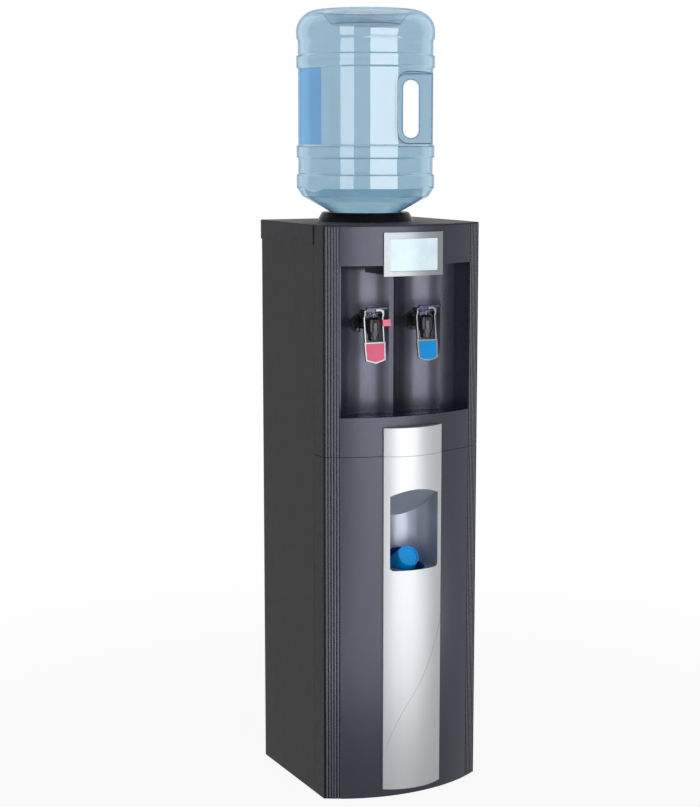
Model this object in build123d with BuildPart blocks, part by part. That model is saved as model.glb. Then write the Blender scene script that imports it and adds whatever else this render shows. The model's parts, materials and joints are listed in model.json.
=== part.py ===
from build123d import *
import math
import os

os.makedirs("parts", exist_ok=True)

# A bottle-fed floor standing water cooler with a hot and a cold tap and a cup
# dispenser. Millimetres, +Z up, front towards -Y, origin on the floor under the
# middle of the object.

# ---------------------------------------------------------------- cabinet sizes
cabinet_width = 336.0
cabinet_depth = 330.0
cabinet_height = 1118.0
front_bow = 47.0
foot_height = 4.0
sheet = 1.2
wall = 3.0
fit = 0.3
return_depth = 41.0
seam_z = 680.0
seam_gap = 0.8
cover_thickness = 3.0
cover_skirt = 38.0
skirt_wall = 1.5
flange_width = 15.0

# flutes on the front corners
flute_count = 6
flute_pitch = 4.8
flute_radius = 1.7
flute_margin = 2.8

# ---------------------------------------------------------------- tap niche
niche_half = 140.0
niche_top = 1042.0
lip_top = 755.0
well_depth = 43.0
liner_wall = 2.5
bay_depth = 112.0
ridge_depth = 92.0
ridge_half = 5.0
pad_radius = 19.0
pad_proud = 3.0
hood_half = 60.0
hood_drop = 17.0
hood_depth = 82.0

# badge on the header
badge_half = 63.0
badge_bottom = 1022.0
badge_top = 1104.0
badge_proud = 4.0
badge_window_half = 51.0
badge_window_bottom = 1031.0
badge_window_top = 1092.0
inlay_sink = 0.8
inlay_thickness = 1.6
bond = 0.1

# drip tray and grille
tray_wall = 2.0
tray_height = 34.0
tray_clearance = 1.5
grille_thickness = 3.0
grille_slot_pitch = 9.0
grille_slot_width = 5.0

# ---------------------------------------------------------------- silver fascia
fascia_half = 62.7
fascia_proud = 5.0
fascia_crown = 18.0
fascia_wall = 2.5
fascia_bottom = 21.0
fascia_top = 735.0
recess_half = 52.0
recess_sill = 457.5
recess_shoulder = 603.0
recess_crown = 615.0
recess_chamfer = 4.5
recess_wall = 2.0
recess_margin = 4.0
tube_drop = 21.5
recess_setback = 17.0
soffit_slope = 39.0
soffit_rise = 4.0
fascia_seam = 0.25

# ---------------------------------------------------------------- cup dispenser
cup_tilt = 40.0
cup_setback = 17.0
cup_base_z = 478.5
cup_base_radius = 21.0
cup_mouth_radius = 34.0
cup_length = 84.0
cup_skin = 0.8
cup_rim_radius = 1.3
cup_foot = 3.0
cup_pitch = 9.0
cups_in_stack = 7
tube_wall = 2.0
tube_clearance = 1.6
tube_length = 290.0
pusher_thickness = 3.0
spring_wire = 0.9

# ---------------------------------------------------------------- bottle
bottle_setback = 127.5
bottle_skin = 1.8
bottle_rib_radius = 135.6
bottle_body_radius = 132.4
neck_radius = 27.5
neck_length = 52.0
shoulder_low_radius = 69.0
shoulder_low_z = 17.0
shoulder_high_radius = 125.0
shoulder_high_z = 48.0
rib_low_z = 64.6
rib_low_top = 88.8
waist_top = 124.0
rib_mid_top = 145.5
barrel_top = 297.0
rib_high_top = 318.0
step_z = 350.0
dome_z = 358.0
bottle_top = 406.0
base_push_up = 26.0
base_doming = 4.0
water_level = 144.0
grip_angle = -26.5
slot_low = 161.0
slot_high = 273.0
slot_inner = 73.0
slot_outer = 104.0
grip_half_thickness = 21.0
pocket_inner = 60.0
pocket_low = 151.0
pocket_high = 285.0

# collar, feed probe and cap
collar_base_radius = 94.0
collar_top_radius = 86.5
collar_wall = 3.0
guide_radius = 34.0
guide_length = 75.0
probe_radius = 10.0
probe_top = -12.0
cap_skin = 1.4
cap_height = 30.0

# ---------------------------------------------------------------- taps
tap_x = 57.0
valve_setback = 57.0
barrel_z = 924.0
barrel_radius = 9.5
flange_radius = 17.0
flange_thickness = 4.0
shank_radius = 7.9
shank_bore = 4.5
shank_reach = 15.0
spout_z = 897.0
spout_radius = 10.0
valve_radius = 14.5
dome_top_z = 941.0
chamber_radius = 9.0
seat_radius = 5.0
passage_radius = 7.5
stem_radius = 2.5
running_fit = 0.06
stem_head_radius = 5.0
stem_top_z = 949.0
pivot_setback = 13.0
pivot_z = 947.0
pin_radius = 1.5
ear_inner = 8.0
ear_outer = 11.0
arm_inner = 18.5
arm_outer = 21.0
paddle_lean = 7.5
paddle_lead = 2.4
paddle_half = 22.5
paddle_top_z = 893.0
paddle_height = 41.0
paddle_thickness = 4.5
insert_margin = 2.6
insert_depth = 1.8
insert_gap = 0.15
lever_cap_left = 16.0
lever_cap_right = 33.0
lever_cap_depth = 12.0
lever_cap_thickness = 4.0

# ---------------------------------------------------------------- water circuit
tank_radius = 58.0
tank_skin = 1.0
tank_bottom_z = 815.0
tank_top_z = 1034.0
coil_tube_radius = 3.0
coil_turns = 7
coil_pitch = 14.0
coil_rise = 40.0
insulation_radius = 78.0
insulation_top_z = 1050.0
shelf_z = 795.0
shelf_setback = 35.0
hot_tank_setback = 70.0
hot_tank_radius = 47.0
hot_tank_height = 118.0
hot_tank_drop = 8.0
jacket_radius = 60.0
hose_radius = 5.0
hose_bend = 13.0

# ---------------------------------------------------------------- refrigeration
compressor_setback = 103.0
compressor_length = 150.0
compressor_width = 118.0
compressor_height = 150.0
mount_height = 12.0
condenser_half = 138.0
condenser_bottom_z = 190.0
condenser_pitch = 46.0
condenser_runs = 10
condenser_tube = 2.6
condenser_wire = 1.4
condenser_standoff = 9.6
wire_pitch = 12.0
pipe_radius = 3.0
capillary_radius = 1.2
pipe_bend = 8.0
riser_x = 90.0
discharge_x = 145.0
drier_x = 130.0
drier_radius = 9.0
drier_length = 90.0

# ---------------------------------------------------------------- worked out
half_width = cabinet_width / 2
back_y = cabinet_depth / 2
crown_y = -cabinet_depth / 2
corner_y = crown_y + front_bow
return_y = corner_y + return_depth
bow_radius = (half_width**2 + front_bow**2) / (2 * front_bow)
bow_centre_y = crown_y + bow_radius
cover_bottom_z = cabinet_height - cover_thickness
bay_y = crown_y + bay_depth
ridge_y = crown_y + ridge_depth
pad_y = bay_y - pad_proud
well_z = lip_top - well_depth
front_clear = 60.0
recess_straight_y = crown_y + recess_setback
cup_base_y = crown_y + cup_setback
bottle_y = back_y - bottle_setback
valve_y = crown_y + valve_setback
pivot_y = valve_y + pivot_setback
shank_end_y = bay_y + shank_reach
shelf_front_y = bay_y + shelf_setback
hot_tank_y = back_y - hot_tank_setback
compressor_y = back_y - compressor_setback
pan_z = foot_height + 2.0
pan_floor = pan_z + sheet


def bow_y(x, inset=0.0):
    """Y of the bowed front at x, moved back into the cabinet by inset."""
    return bow_centre_y - math.sqrt((bow_radius - inset) ** 2 - x**2)


def bow_plan(half, rear_y, inset, z):
    """Plan of the cabinet between the bowed front and a straight rear."""
    with BuildSketch(Plane.XY.offset(z)) as plan:
        with BuildLine():
            front = ThreePointArc(
                (-half, bow_y(half, inset)), (0, bow_y(0, inset)), (half, bow_y(half, inset))
            )
            Polyline(front @ 1, (half, rear_y), (-half, rear_y), front @ 0)
        make_face()
    return plan.sketch


def bow_band(half, front_inset, rear_inset, z):
    """Plan of a curved plate that follows the bowed front."""
    with BuildSketch(Plane.XY.offset(z)) as plan:
        with BuildLine():
            outer = ThreePointArc(
                (-half, bow_y(half, front_inset)),
                (0, bow_y(0, front_inset)),
                (half, bow_y(half, front_inset)),
            )
            inner = ThreePointArc(
                (half, bow_y(half, rear_inset)),
                (0, bow_y(0, rear_inset)),
                (-half, bow_y(half, rear_inset)),
            )
            Line(outer @ 1, inner @ 0)
            Line(inner @ 1, outer @ 0)
        make_face()
    return plan.sketch


# ================================================================ front mouldings
flute_first = half_width - flute_margin - (flute_count - 1) * flute_pitch


def front_moulding(bottom_z, top_z):
    """Bowed front shell with returns round the sides and fluted corners."""
    height = top_z - bottom_z
    flute_x = [flute_first + i * flute_pitch for i in range(flute_count)]
    spots = [(side * x, bow_y(x)) for side in (-1, 1) for x in flute_x]
    with BuildPart() as shell:
        extrude(bow_plan(half_width, return_y, 0, bottom_z), amount=height)
        inside = bow_plan(half_width - wall, return_y + wall, wall, bottom_z)
        extrude(inside, amount=height, mode=Mode.SUBTRACT)
        with BuildSketch(Plane.XY.offset(bottom_z)):
            with Locations(*spots):
                Circle(flute_radius)
        extrude(amount=height, mode=Mode.SUBTRACT)
    return shell.part


with BuildPart() as upper_front_panel:
    add(front_moulding(seam_z + seam_gap / 2, cover_bottom_z - fit))
    with BuildSketch(Plane.XZ.offset(-corner_y)):
        with Locations((0, (niche_top + lip_top) / 2)):
            Rectangle(2 * niche_half, niche_top - lip_top)
    extrude(amount=front_clear, mode=Mode.SUBTRACT)
    # a stiffening rib across the back of the header
    rib_bite = 1.0
    extrude(bow_band(niche_half, wall - rib_bite, wall + 6, niche_top + 30), amount=wall)
upper_front_panel.part.label = "upper_front_panel"
export_step(upper_front_panel.part, "parts/upper_front_panel.step")


# ================================================================ silver fascia
crown_radius = (fascia_half**2 + fascia_crown**2) / (2 * fascia_crown)
crown_front_y = bow_y(fascia_half) - fascia_proud - fascia_crown
crown_centre_y = crown_front_y + crown_radius


def crown_face_y(x, inset=0.0):
    """Y of the crowned fascia at x, moved back by inset."""
    return crown_centre_y - math.sqrt((crown_radius - inset) ** 2 - x**2)


def crown_arc(half, inset):
    return ThreePointArc(
        (-half, crown_face_y(half, inset)),
        (0, crown_face_y(0, inset)),
        (half, crown_face_y(half, inset)),
    )


def fascia_shell_plan(z):
    """Crowned skin with two side returns that meet the bowed front."""
    inner_half = fascia_half - fascia_wall
    with BuildSketch(Plane.XY.offset(z)) as plan:
        with BuildLine():
            outer = crown_arc(fascia_half, 0)
            inner = crown_arc(inner_half, fascia_wall)
            for side, outer_end, inner_end in ((-1, 0, 0), (1, 1, 1)):
                Polyline(
                    outer @ outer_end,
                    (side * fascia_half, bow_y(fascia_half, -fit)),
                    (side * inner_half, bow_y(inner_half, -fit)),
                    inner @ inner_end,
                )
        make_face()
    return plan.sketch


def fascia_full_plan(z):
    """All of the space between the crowned skin and the bowed front."""
    half = fascia_half
    with BuildSketch(Plane.XY.offset(z)) as plan:
        with BuildLine():
            outer = crown_arc(half, 0)
            rear = ThreePointArc(
                (half, bow_y(half, -fit)), (0, bow_y(0, -fit)), (-half, bow_y(half, -fit))
            )
            Line(outer @ 1, rear @ 0)
            Line(rear @ 1, outer @ 0)
        make_face()
    return plan.sketch


with BuildPart() as fascia_upper:
    upper_start = seam_z + fascia_seam / 2
    extrude(fascia_shell_plan(upper_start), amount=fascia_top - upper_start)
    extrude(fascia_full_plan(fascia_top - fascia_wall), amount=fascia_wall)
fascia_upper.part.label = "fascia_upper"
export_step(fascia_upper.part, "parts/fascia_upper.step")


# a fine decorative line curving down the lower fascia
line_points = [(68, 374), (46, 307), (8, 232), (-28, 176), (-48, 134), (-58, 103)]
line_width = 1.4
line_depth = 0.7

with BuildPart() as fascia_line:
    with BuildSketch(Plane.XZ.offset(-corner_y)):
        with BuildLine():
            curve = Spline(*line_points)
        trace(curve, line_width)
    extrude(amount=2 * front_clear)
    with BuildSketch(Plane.XY):
        with BuildLine():
            skin_outer = crown_arc(fascia_half, -1)
            skin_inner = crown_arc(fascia_half, line_depth)
            Line(skin_outer @ 0, skin_inner @ 0)
            Line(skin_outer @ 1, skin_inner @ 1)
        make_face()
    extrude(amount=seam_z, mode=Mode.INTERSECT)

with BuildPart() as fascia_lower:
    lower_end = seam_z - fascia_seam / 2
    extrude(fascia_shell_plan(fascia_bottom), amount=lower_end - fascia_bottom)
    extrude(fascia_full_plan(fascia_bottom), amount=fascia_wall)
    # opening of the cup recess: flat sill, clipped corners, arched head
    with BuildSketch(Plane.XZ.offset(-corner_y)):
        with BuildLine():
            head = ThreePointArc(
                (-recess_half, recess_shoulder), (0, recess_crown), (recess_half, recess_shoulder)
            )
            Polyline(
                head @ 1,
                (recess_half, recess_sill + recess_chamfer),
                (recess_half - recess_chamfer, recess_sill),
                (recess_chamfer - recess_half, recess_sill),
                (-recess_half, recess_sill + recess_chamfer),
                head @ 0,
            )
        make_face()
    extrude(amount=2 * front_clear, mode=Mode.SUBTRACT)
    add(fascia_line.part, mode=Mode.SUBTRACT)
fascia_lower.part.label = "fascia_lower"
export_step(fascia_lower.part, "parts/fascia_lower.step")

with BuildPart() as lower_front_panel:
    add(front_moulding(foot_height, seam_z - seam_gap / 2))
    # the recess and the mouth of the cup tube pass through the front
    opening_top = recess_crown + recess_margin
    opening_bottom = recess_sill - tube_drop
    with BuildSketch(Plane.XZ.offset(-corner_y)):
        with Locations((0, (opening_top + opening_bottom) / 2)):
            Rectangle(2 * (recess_half + recess_margin), opening_top - opening_bottom)
    extrude(amount=front_clear, mode=Mode.SUBTRACT)
lower_front_panel.part.label = "lower_front_panel"
export_step(lower_front_panel.part, "parts/lower_front_panel.step")


# ================================================================ cup dispenser
cup_origin = Vector(0, cup_base_y, cup_base_z)
cup_direction = Vector(0, -math.cos(math.radians(cup_tilt)), math.sin(math.radians(cup_tilt)))
cup_axis = Axis(cup_origin, cup_direction)
cup_plane = Plane(cup_origin, x_dir=(1, 0, 0), z_dir=Vector(1, 0, 0).cross(cup_direction))
cup_taper = (cup_mouth_radius - cup_base_radius) / cup_length
tube_inner = cup_mouth_radius + 2 * cup_rim_radius + tube_clearance


def recess_plan(grow, front_inset, z):
    """Plan of the scooped recess, a half round open to the front."""
    half = recess_half + grow
    with BuildSketch(Plane.XY.offset(z)) as plan:
        with BuildLine():
            scoop = ThreePointArc(
                (-half, recess_straight_y), (0, recess_straight_y + half), (half, recess_straight_y)
            )
            front = crown_arc(half, front_inset)
            Line(scoop @ 0, front @ 0)
            Line(scoop @ 1, front @ 1)
        make_face()
    return plan.sketch


def tube_rod(extra):
    """Round bar along the cup tube, as wide as its bore plus extra."""
    length = tube_length + extra + cup_length
    base = Plane(cup_origin - cup_direction * (tube_length + extra), z_dir=cup_direction)
    with BuildPart() as rod:
        with BuildSketch(base):
            Circle(tube_inner + extra)
        extrude(amount=length)
    return rod.part


recess_height = recess_crown - recess_sill
recess_plug_z = recess_sill - recess_wall

# the ceiling of the recess falls away to the rear
soffit_radians = math.radians(soffit_slope)
soffit_plane = Plane(
    (0, crown_front_y, recess_crown + soffit_rise), x_dir=(1, 0, 0),
    z_dir=(0, math.sin(soffit_radians), math.cos(soffit_radians)),
)

with BuildPart() as recess_outside:
    outside = recess_plan(recess_wall, fascia_wall + fit, recess_plug_z)
    extrude(outside, amount=recess_height + 2 * recess_wall)
    split(bisect_by=soffit_plane.offset(recess_wall), keep=Keep.BOTTOM)

with BuildPart() as recess_cavity:
    extrude(recess_plan(0, -fascia_wall, recess_sill), amount=recess_height)
    split(bisect_by=soffit_plane, keep=Keep.BOTTOM)

with BuildPart() as recess_liner:
    add(recess_outside.part)
    add(recess_cavity.part, mode=Mode.SUBTRACT)
    add(tube_rod(0), mode=Mode.SUBTRACT)
recess_liner.part.label = "recess_liner"
export_step(recess_liner.part, "parts/recess_liner.step")

with BuildPart() as cup_tube:
    add(tube_rod(tube_wall))
    add(tube_rod(0), mode=Mode.SUBTRACT)
    # the front end is cut to the outside of the recess and kept behind the fascia
    keep_out = recess_plan(recess_wall + fit, -fascia_wall, recess_plug_z - fit)
    extrude(keep_out, amount=recess_height, mode=Mode.SUBTRACT)
    tube_limit = recess_half + recess_wall
    with BuildSketch(Plane.XY):
        with BuildLine():
            behind_skin = crown_arc(tube_limit, fascia_wall + fit)
            Polyline(
                behind_skin @ 1, (tube_limit, back_y), (-tube_limit, back_y), behind_skin @ 0
            )
        make_face()
    extrude(amount=recess_crown, mode=Mode.INTERSECT)
cup_tube.part.label = "cup_tube"
export_step(cup_tube.part, "parts/cup_tube.step")


def cup(back):
    """A thin drinking cup, its base at back behind the front cup's base."""
    foot_radius = cup_base_radius + cup_foot * cup_taper
    with BuildPart() as shape:
        with BuildSketch(cup_plane):
            with BuildLine():
                Polyline(
                    (cup_base_radius, -back),
                    (cup_mouth_radius, -back - cup_length),
                    (cup_mouth_radius - cup_skin, -back - cup_length),
                    (foot_radius - cup_skin, -back - cup_foot - cup_skin),
                    (0, -back - cup_foot - cup_skin),
                    (0, -back - cup_foot),
                    (cup_base_radius - 2 * cup_skin, -back - cup_foot),
                    (cup_base_radius - 2 * cup_skin, -back),
                    close=True,
                )
            make_face()
            with Locations((cup_mouth_radius + cup_rim_radius - cup_skin, -back - cup_length)):
                RegularPolygon(cup_rim_radius, 8)
        revolve(axis=cup_axis)
    return shape.part


front_cup = cup(0)
front_cup.label = "front_cup"
export_step(front_cup, "parts/front_cup.step")

cup_stack = Compound([cup(cup_pitch * (i + 1)) for i in range(cups_in_stack)])
cup_stack.label = "cup_stack"
export_step(cup_stack, "parts/cup_stack.step")

last_rim = cup_length + cup_pitch * cups_in_stack + cup_rim_radius
pusher_front = last_rim + fit
spring_front = pusher_front + pusher_thickness + fit
spring_rear = tube_length - fit
pusher_radius = cup_mouth_radius + cup_rim_radius
spring_radius = 20.0
pusher_post = 16.0

with BuildPart() as cup_pusher:
    with BuildSketch(cup_plane):
        with BuildLine():
            Polyline(
                (0, -pusher_front + 8),
                (pusher_post, -pusher_front + 8),
                (pusher_post + 6, -pusher_front),
                (pusher_radius, -pusher_front),
                (pusher_radius, -pusher_front - pusher_thickness),
                (pusher_post, -pusher_front - pusher_thickness),
                (pusher_post, -pusher_front - pusher_thickness - 14),
                (pusher_post - 2, -pusher_front - pusher_thickness - 14),
                (pusher_post - 2, -pusher_front),
                (0, -pusher_front),
                close=True,
            )
        make_face()
    revolve(axis=cup_axis)
cup_pusher.part.label = "cup_pusher"
export_step(cup_pusher.part, "parts/cup_pusher.step")


def coil_spring(plane, radius, wire, length, turns):
    """A helical coil that starts on the plane and climbs its normal, its wire eight-sided."""
    pitch = (length - 2 * wire) / turns
    first = plane.origin + plane.z_dir * wire
    with BuildPart() as spring:
        with BuildLine():
            path = Helix(pitch, pitch * turns, radius, center=first, direction=plane.z_dir)
        with BuildSketch(Plane(path @ 0, z_dir=path % 0)):
            RegularPolygon(wire, 8)
        sweep(path=path)
    return spring.part


pusher_spring_turns = 6
spring_base = cup_origin - cup_direction * spring_rear
spring_plane = Plane(spring_base, x_dir=(1, 0, 0), z_dir=cup_direction)
pusher_spring = coil_spring(
    spring_plane, spring_radius, spring_wire, spring_rear - spring_front, pusher_spring_turns
)
pusher_spring.label = "pusher_spring"
export_step(pusher_spring, "parts/pusher_spring.step")


# ================================================================ tap niche
def niche_plan(grow, front_inset, z):
    """Plan of the niche: straight sides and two scooped bays behind the taps."""
    half = niche_half + grow
    bay_end = 2 * tap_x - ridge_half
    with BuildSketch(Plane.XY.offset(z)) as plan:
        with BuildLine():
            front = ThreePointArc(
                (-half, bow_y(half, front_inset)),
                (0, bow_y(0, front_inset)),
                (half, bow_y(half, front_inset)),
            )
            bays = [
                ThreePointArc(
                    (side * ridge_half, ridge_y + grow),
                    (side * tap_x, bay_y + grow),
                    (side * bay_end, ridge_y + grow),
                )
                for side in (-1, 1)
            ]
            Line(bays[0] @ 0, bays[1] @ 0)
            Polyline(bays[0] @ 1, (-half, ridge_y + grow), front @ 0)
            Polyline(bays[1] @ 1, (half, ridge_y + grow), front @ 1)
        make_face()
    return plan.sketch


niche_height = niche_top - well_z

with BuildPart() as niche_liner:
    outside = niche_plan(liner_wall, wall + fit, well_z - liner_wall)
    extrude(outside, amount=niche_height + 2 * liner_wall)
    extrude(niche_plan(0, -wall, well_z), amount=niche_height, mode=Mode.SUBTRACT)
    # a shallow hood behind the badge hangs below the ceiling
    hood_rear = crown_y + badge_proud + hood_depth
    hood = bow_plan(hood_half, hood_rear, wall + fit, niche_top - hood_drop)
    extrude(hood, amount=hood_drop + liner_wall)
    # flat pads for the tap flanges, drilled for the shanks
    for side in (-1, 1):
        with Locations((side * tap_x, (pad_y + bay_y + liner_wall) / 2, barrel_z)):
            Cylinder(pad_radius, bay_y + liner_wall - pad_y, rotation=(90, 0, 0))
            Cylinder(shank_radius + fit, 40, rotation=(90, 0, 0), mode=Mode.SUBTRACT)
niche_liner.part.label = "niche_liner"
export_step(niche_liner.part, "parts/niche_liner.step")

badge_height = badge_top - badge_bottom
window_height = badge_window_top - badge_window_bottom

with BuildPart() as badge_frame:
    extrude(bow_band(badge_half, -badge_proud, -fit, badge_bottom), amount=badge_height)
    window = bow_band(
        badge_window_half, -badge_proud - 1, inlay_sink + inlay_thickness + bond - badge_proud,
        badge_window_bottom,
    )
    extrude(window, amount=window_height, mode=Mode.SUBTRACT)
badge_frame.part.label = "badge_frame"
export_step(badge_frame.part, "parts/badge_frame.step")

with BuildPart() as badge_inlay:
    inlay = bow_band(
        badge_window_half - insert_gap, inlay_sink - badge_proud,
        inlay_sink + inlay_thickness - badge_proud, badge_window_bottom + insert_gap,
    )
    extrude(inlay, amount=window_height - 2 * insert_gap)
badge_inlay.part.label = "badge_inlay"
export_step(badge_inlay.part, "parts/badge_inlay.step")


# ================================================================ drip tray
def tray_plan(inset, z):
    """Plan of the drip tray, which follows the niche with a clearance."""
    return niche_plan(-tray_clearance - inset, wall + tray_clearance + inset, z)


tray_bottom_z = well_z + fit
tray_top_z = tray_bottom_z + tray_height

with BuildPart() as drip_tray:
    extrude(tray_plan(0, tray_bottom_z), amount=tray_height)
    extrude(tray_plan(tray_wall, tray_bottom_z + tray_wall), amount=tray_height, mode=Mode.SUBTRACT)
    # a ledge round the rim carries the grille
    ledge_z = tray_top_z - tray_wall
    extrude(tray_plan(0, ledge_z), amount=tray_wall)
    extrude(tray_plan(3 * tray_wall, ledge_z), amount=tray_wall, mode=Mode.SUBTRACT)
drip_tray.part.label = "drip_tray"
export_step(drip_tray.part, "parts/drip_tray.step")

grille_z = tray_top_z + fit
slot_columns = int(2 * niche_half / grille_slot_pitch)
grille_border = 7.0
grille_bar_y = (ridge_y + crown_y) / 2 + 12

with BuildPart() as grille_slots:
    with BuildSketch(Plane.XY.offset(grille_z)):
        with Locations((0, grille_bar_y)):
            with GridLocations(grille_slot_pitch, 0, slot_columns, 1):
                Rectangle(grille_slot_width, cabinet_depth)
            Rectangle(cabinet_width, grille_border, mode=Mode.SUBTRACT)
    extrude(amount=grille_thickness)
    extrude(tray_plan(grille_border, grille_z), amount=grille_thickness, mode=Mode.INTERSECT)

with BuildPart() as drip_grille:
    extrude(tray_plan(0, grille_z), amount=grille_thickness)
    add(grille_slots.part, mode=Mode.SUBTRACT)
drip_grille.part.label = "drip_grille"
export_step(drip_grille.part, "parts/drip_grille.step")


# ================================================================ bottle
top = cabinet_height
shoulder_slope = (shoulder_high_radius - shoulder_low_radius) / (shoulder_high_z - shoulder_low_z)
neck_z = shoulder_low_z - (shoulder_low_radius - neck_radius) / shoulder_slope
bottle_axis = Axis((0, bottle_y, 0), (0, 0, 1))
bottle_plane = Plane((0, bottle_y, top), x_dir=(1, 0, 0), z_dir=(0, -1, 0))


def bottle_profile(inset):
    """Half section of the upturned bottle, moved inwards by inset."""
    rib = bottle_rib_radius - inset
    body = bottle_body_radius - inset
    neck = neck_radius - inset
    with BuildSketch(bottle_plane) as profile:
        with BuildLine():
            wall_line = Polyline(
                (0, -neck_length),
                (neck, -neck_length),
                (neck, neck_z + inset),
                (shoulder_low_radius - inset, shoulder_low_z + inset / 2),
                (shoulder_high_radius - inset, shoulder_high_z + inset / 2),
                (rib, rib_low_z + inset / 2),
                (rib, rib_low_top - inset / 2),
                (body, rib_low_top + 3),
                (body, waist_top - 3),
                (rib, waist_top + inset / 2),
                (rib, rib_mid_top - inset / 2),
                (body, rib_mid_top + 3),
                (body, barrel_top - 3),
                (rib, barrel_top + inset / 2),
                (rib, rib_high_top - inset / 2),
                (body, rib_high_top + 3),
                (body, step_z - 3),
                (rib, step_z + 3),
                (rib, dome_z),
            )
            crown = ThreePointArc(
                (rib, dome_z),
                (rib - 9, dome_z + (bottle_top - dome_z) * 0.68),
                (rib * 0.72, bottle_top - inset),
            )
            Polyline(
                crown @ 1,
                (rib * 0.66, bottle_top - inset),
                (rib * 0.5, bottle_top - base_push_up - inset),
                (0, bottle_top - base_push_up + base_doming - inset),
                wall_line @ 0,
            )
        make_face()
    return profile.sketch


grip_radians = math.radians(grip_angle)
grip_radial = Vector(math.cos(grip_radians), math.sin(grip_radians), 0)
grip_plane = Plane((0, bottle_y, top), x_dir=grip_radial, z_dir=grip_radial.cross(Vector(0, 0, 1)))


def grip_hollows(grow):
    """The slot for the fingers and a pocket on each side of the hand grip."""
    slot_width = slot_outer - slot_inner
    pocket_width = bottle_rib_radius + 30 - pocket_inner
    with BuildPart() as hollows:
        with BuildSketch(grip_plane):
            with Locations(((slot_inner + slot_outer) / 2, (slot_low + slot_high) / 2)):
                RectangleRounded(
                    slot_width + 2 * grow, slot_high - slot_low + 2 * grow,
                    slot_width / 2 + grow - 0.5,
                )
        extrude(amount=bottle_rib_radius, both=True)
        for side in (-1, 1):
            with BuildSketch(grip_plane.offset(side * (grip_half_thickness - grow))):
                with Locations((pocket_inner + pocket_width / 2, (pocket_low + pocket_high) / 2)):
                    RectangleRounded(
                        pocket_width + 2 * grow, pocket_high - pocket_low + 2 * grow, 22 + grow
                    )
            extrude(amount=side * bottle_rib_radius)
    return hollows.part


with BuildPart() as bottle_cavity:
    add(bottle_profile(bottle_skin))
    revolve(axis=bottle_axis)
    add(grip_hollows(bottle_skin), mode=Mode.SUBTRACT)
    with Locations((0, bottle_y, top - neck_length)):
        Cylinder(neck_radius - bottle_skin, 8)

with BuildPart() as bottle:
    add(bottle_profile(0))
    revolve(axis=bottle_axis)
    add(grip_hollows(0), mode=Mode.SUBTRACT)
    add(bottle_cavity.part, mode=Mode.SUBTRACT)
bottle.part.label = "bottle"
export_step(bottle.part, "parts/bottle.step")

cap_inner = neck_radius + running_fit
cap_outer = cap_inner + cap_skin
cap_bottom = -neck_length - cap_skin - fit
sleeve_radius = probe_radius + 1.2

with BuildPart() as bottle_cap:
    with BuildSketch(bottle_plane):
        with BuildLine():
            Polyline(
                (sleeve_radius, cap_bottom),
                (cap_outer, cap_bottom),
                (cap_outer, cap_bottom + cap_height),
                (cap_inner, cap_bottom + cap_height),
                (cap_inner, cap_bottom + cap_skin),
                (sleeve_radius + cap_skin, cap_bottom + cap_skin),
                (sleeve_radius + cap_skin, cap_bottom + 22),
                (sleeve_radius, cap_bottom + 22),
                close=True,
            )
        make_face()
    revolve(axis=bottle_axis)
bottle_cap.part.label = "bottle_cap"
export_step(bottle_cap.part, "parts/bottle_cap.step")

with BuildPart() as bottle_water:
    add(bottle_profile(bottle_skin + fit))
    revolve(axis=bottle_axis)
    split(bisect_by=Plane.XY.offset(top + water_level), keep=Keep.BOTTOM)
    with BuildSketch(bottle_plane):
        with BuildLine():
            Polyline(
                (0, -neck_length - 10),
                (sleeve_radius + cap_skin + fit, -neck_length - 10),
                (sleeve_radius + cap_skin + fit, cap_bottom + 22 + fit),
                (probe_radius + fit, probe_top + fit),
                (0, probe_top + 4),
                close=True,
            )
        make_face()
    revolve(axis=bottle_axis, mode=Mode.SUBTRACT)
bottle_water.part.label = "bottle_water"
export_step(bottle_water.part, "parts/bottle_water.step")

# the collar takes the shoulder of the bottle and guides its neck
cover_hole = 62.0
seat_radius_top = shoulder_low_radius + 2 * fit
seat_drop = (seat_radius_top - guide_radius) / shoulder_slope

with BuildPart() as bottle_collar:
    with BuildSketch(bottle_plane):
        with BuildLine():
            Polyline(
                (collar_base_radius, 0),
                (collar_base_radius - 1, 4),
                (collar_top_radius, shoulder_low_z - 1.5),
                (collar_top_radius - 2, shoulder_low_z),
                (seat_radius_top, shoulder_low_z),
                (guide_radius, shoulder_low_z - seat_drop),
                (guide_radius, -guide_length),
                (guide_radius + collar_wall, -guide_length),
                (guide_radius + collar_wall, -cover_thickness - 2),
                (cover_hole - fit, -cover_thickness - 2),
                (cover_hole - fit, 0),
                close=True,
            )
        make_face()
    revolve(axis=bottle_axis)
bottle_collar.part.label = "bottle_collar"
export_step(bottle_collar.part, "parts/bottle_collar.step")

flow_slots = 4
probe_flange = guide_radius + collar_wall - fit

with BuildPart() as feed_probe:
    with BuildSketch(bottle_plane):
        with BuildLine():
            Polyline(
                (0, probe_top),
                (probe_radius - 4, probe_top),
                (probe_radius, probe_top - 6),
                (probe_radius, -guide_length - fit),
                (probe_flange, -guide_length - fit),
                (probe_flange, -guide_length - fit - collar_wall),
                (probe_radius, -guide_length - fit - collar_wall),
                (probe_radius, -guide_length - 40),
                (probe_radius - 2, -guide_length - 40),
                (probe_radius - 2, probe_top - 8),
                (0, probe_top - 4),
                close=True,
            )
        make_face()
    revolve(axis=bottle_axis)
    with Locations((0, bottle_y, top + probe_top - 16)):
        with PolarLocations(probe_radius, flow_slots):
            Box(6, 5, 12, mode=Mode.SUBTRACT)
feed_probe.part.label = "feed_probe"
export_step(feed_probe.part, "parts/feed_probe.step")


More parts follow.
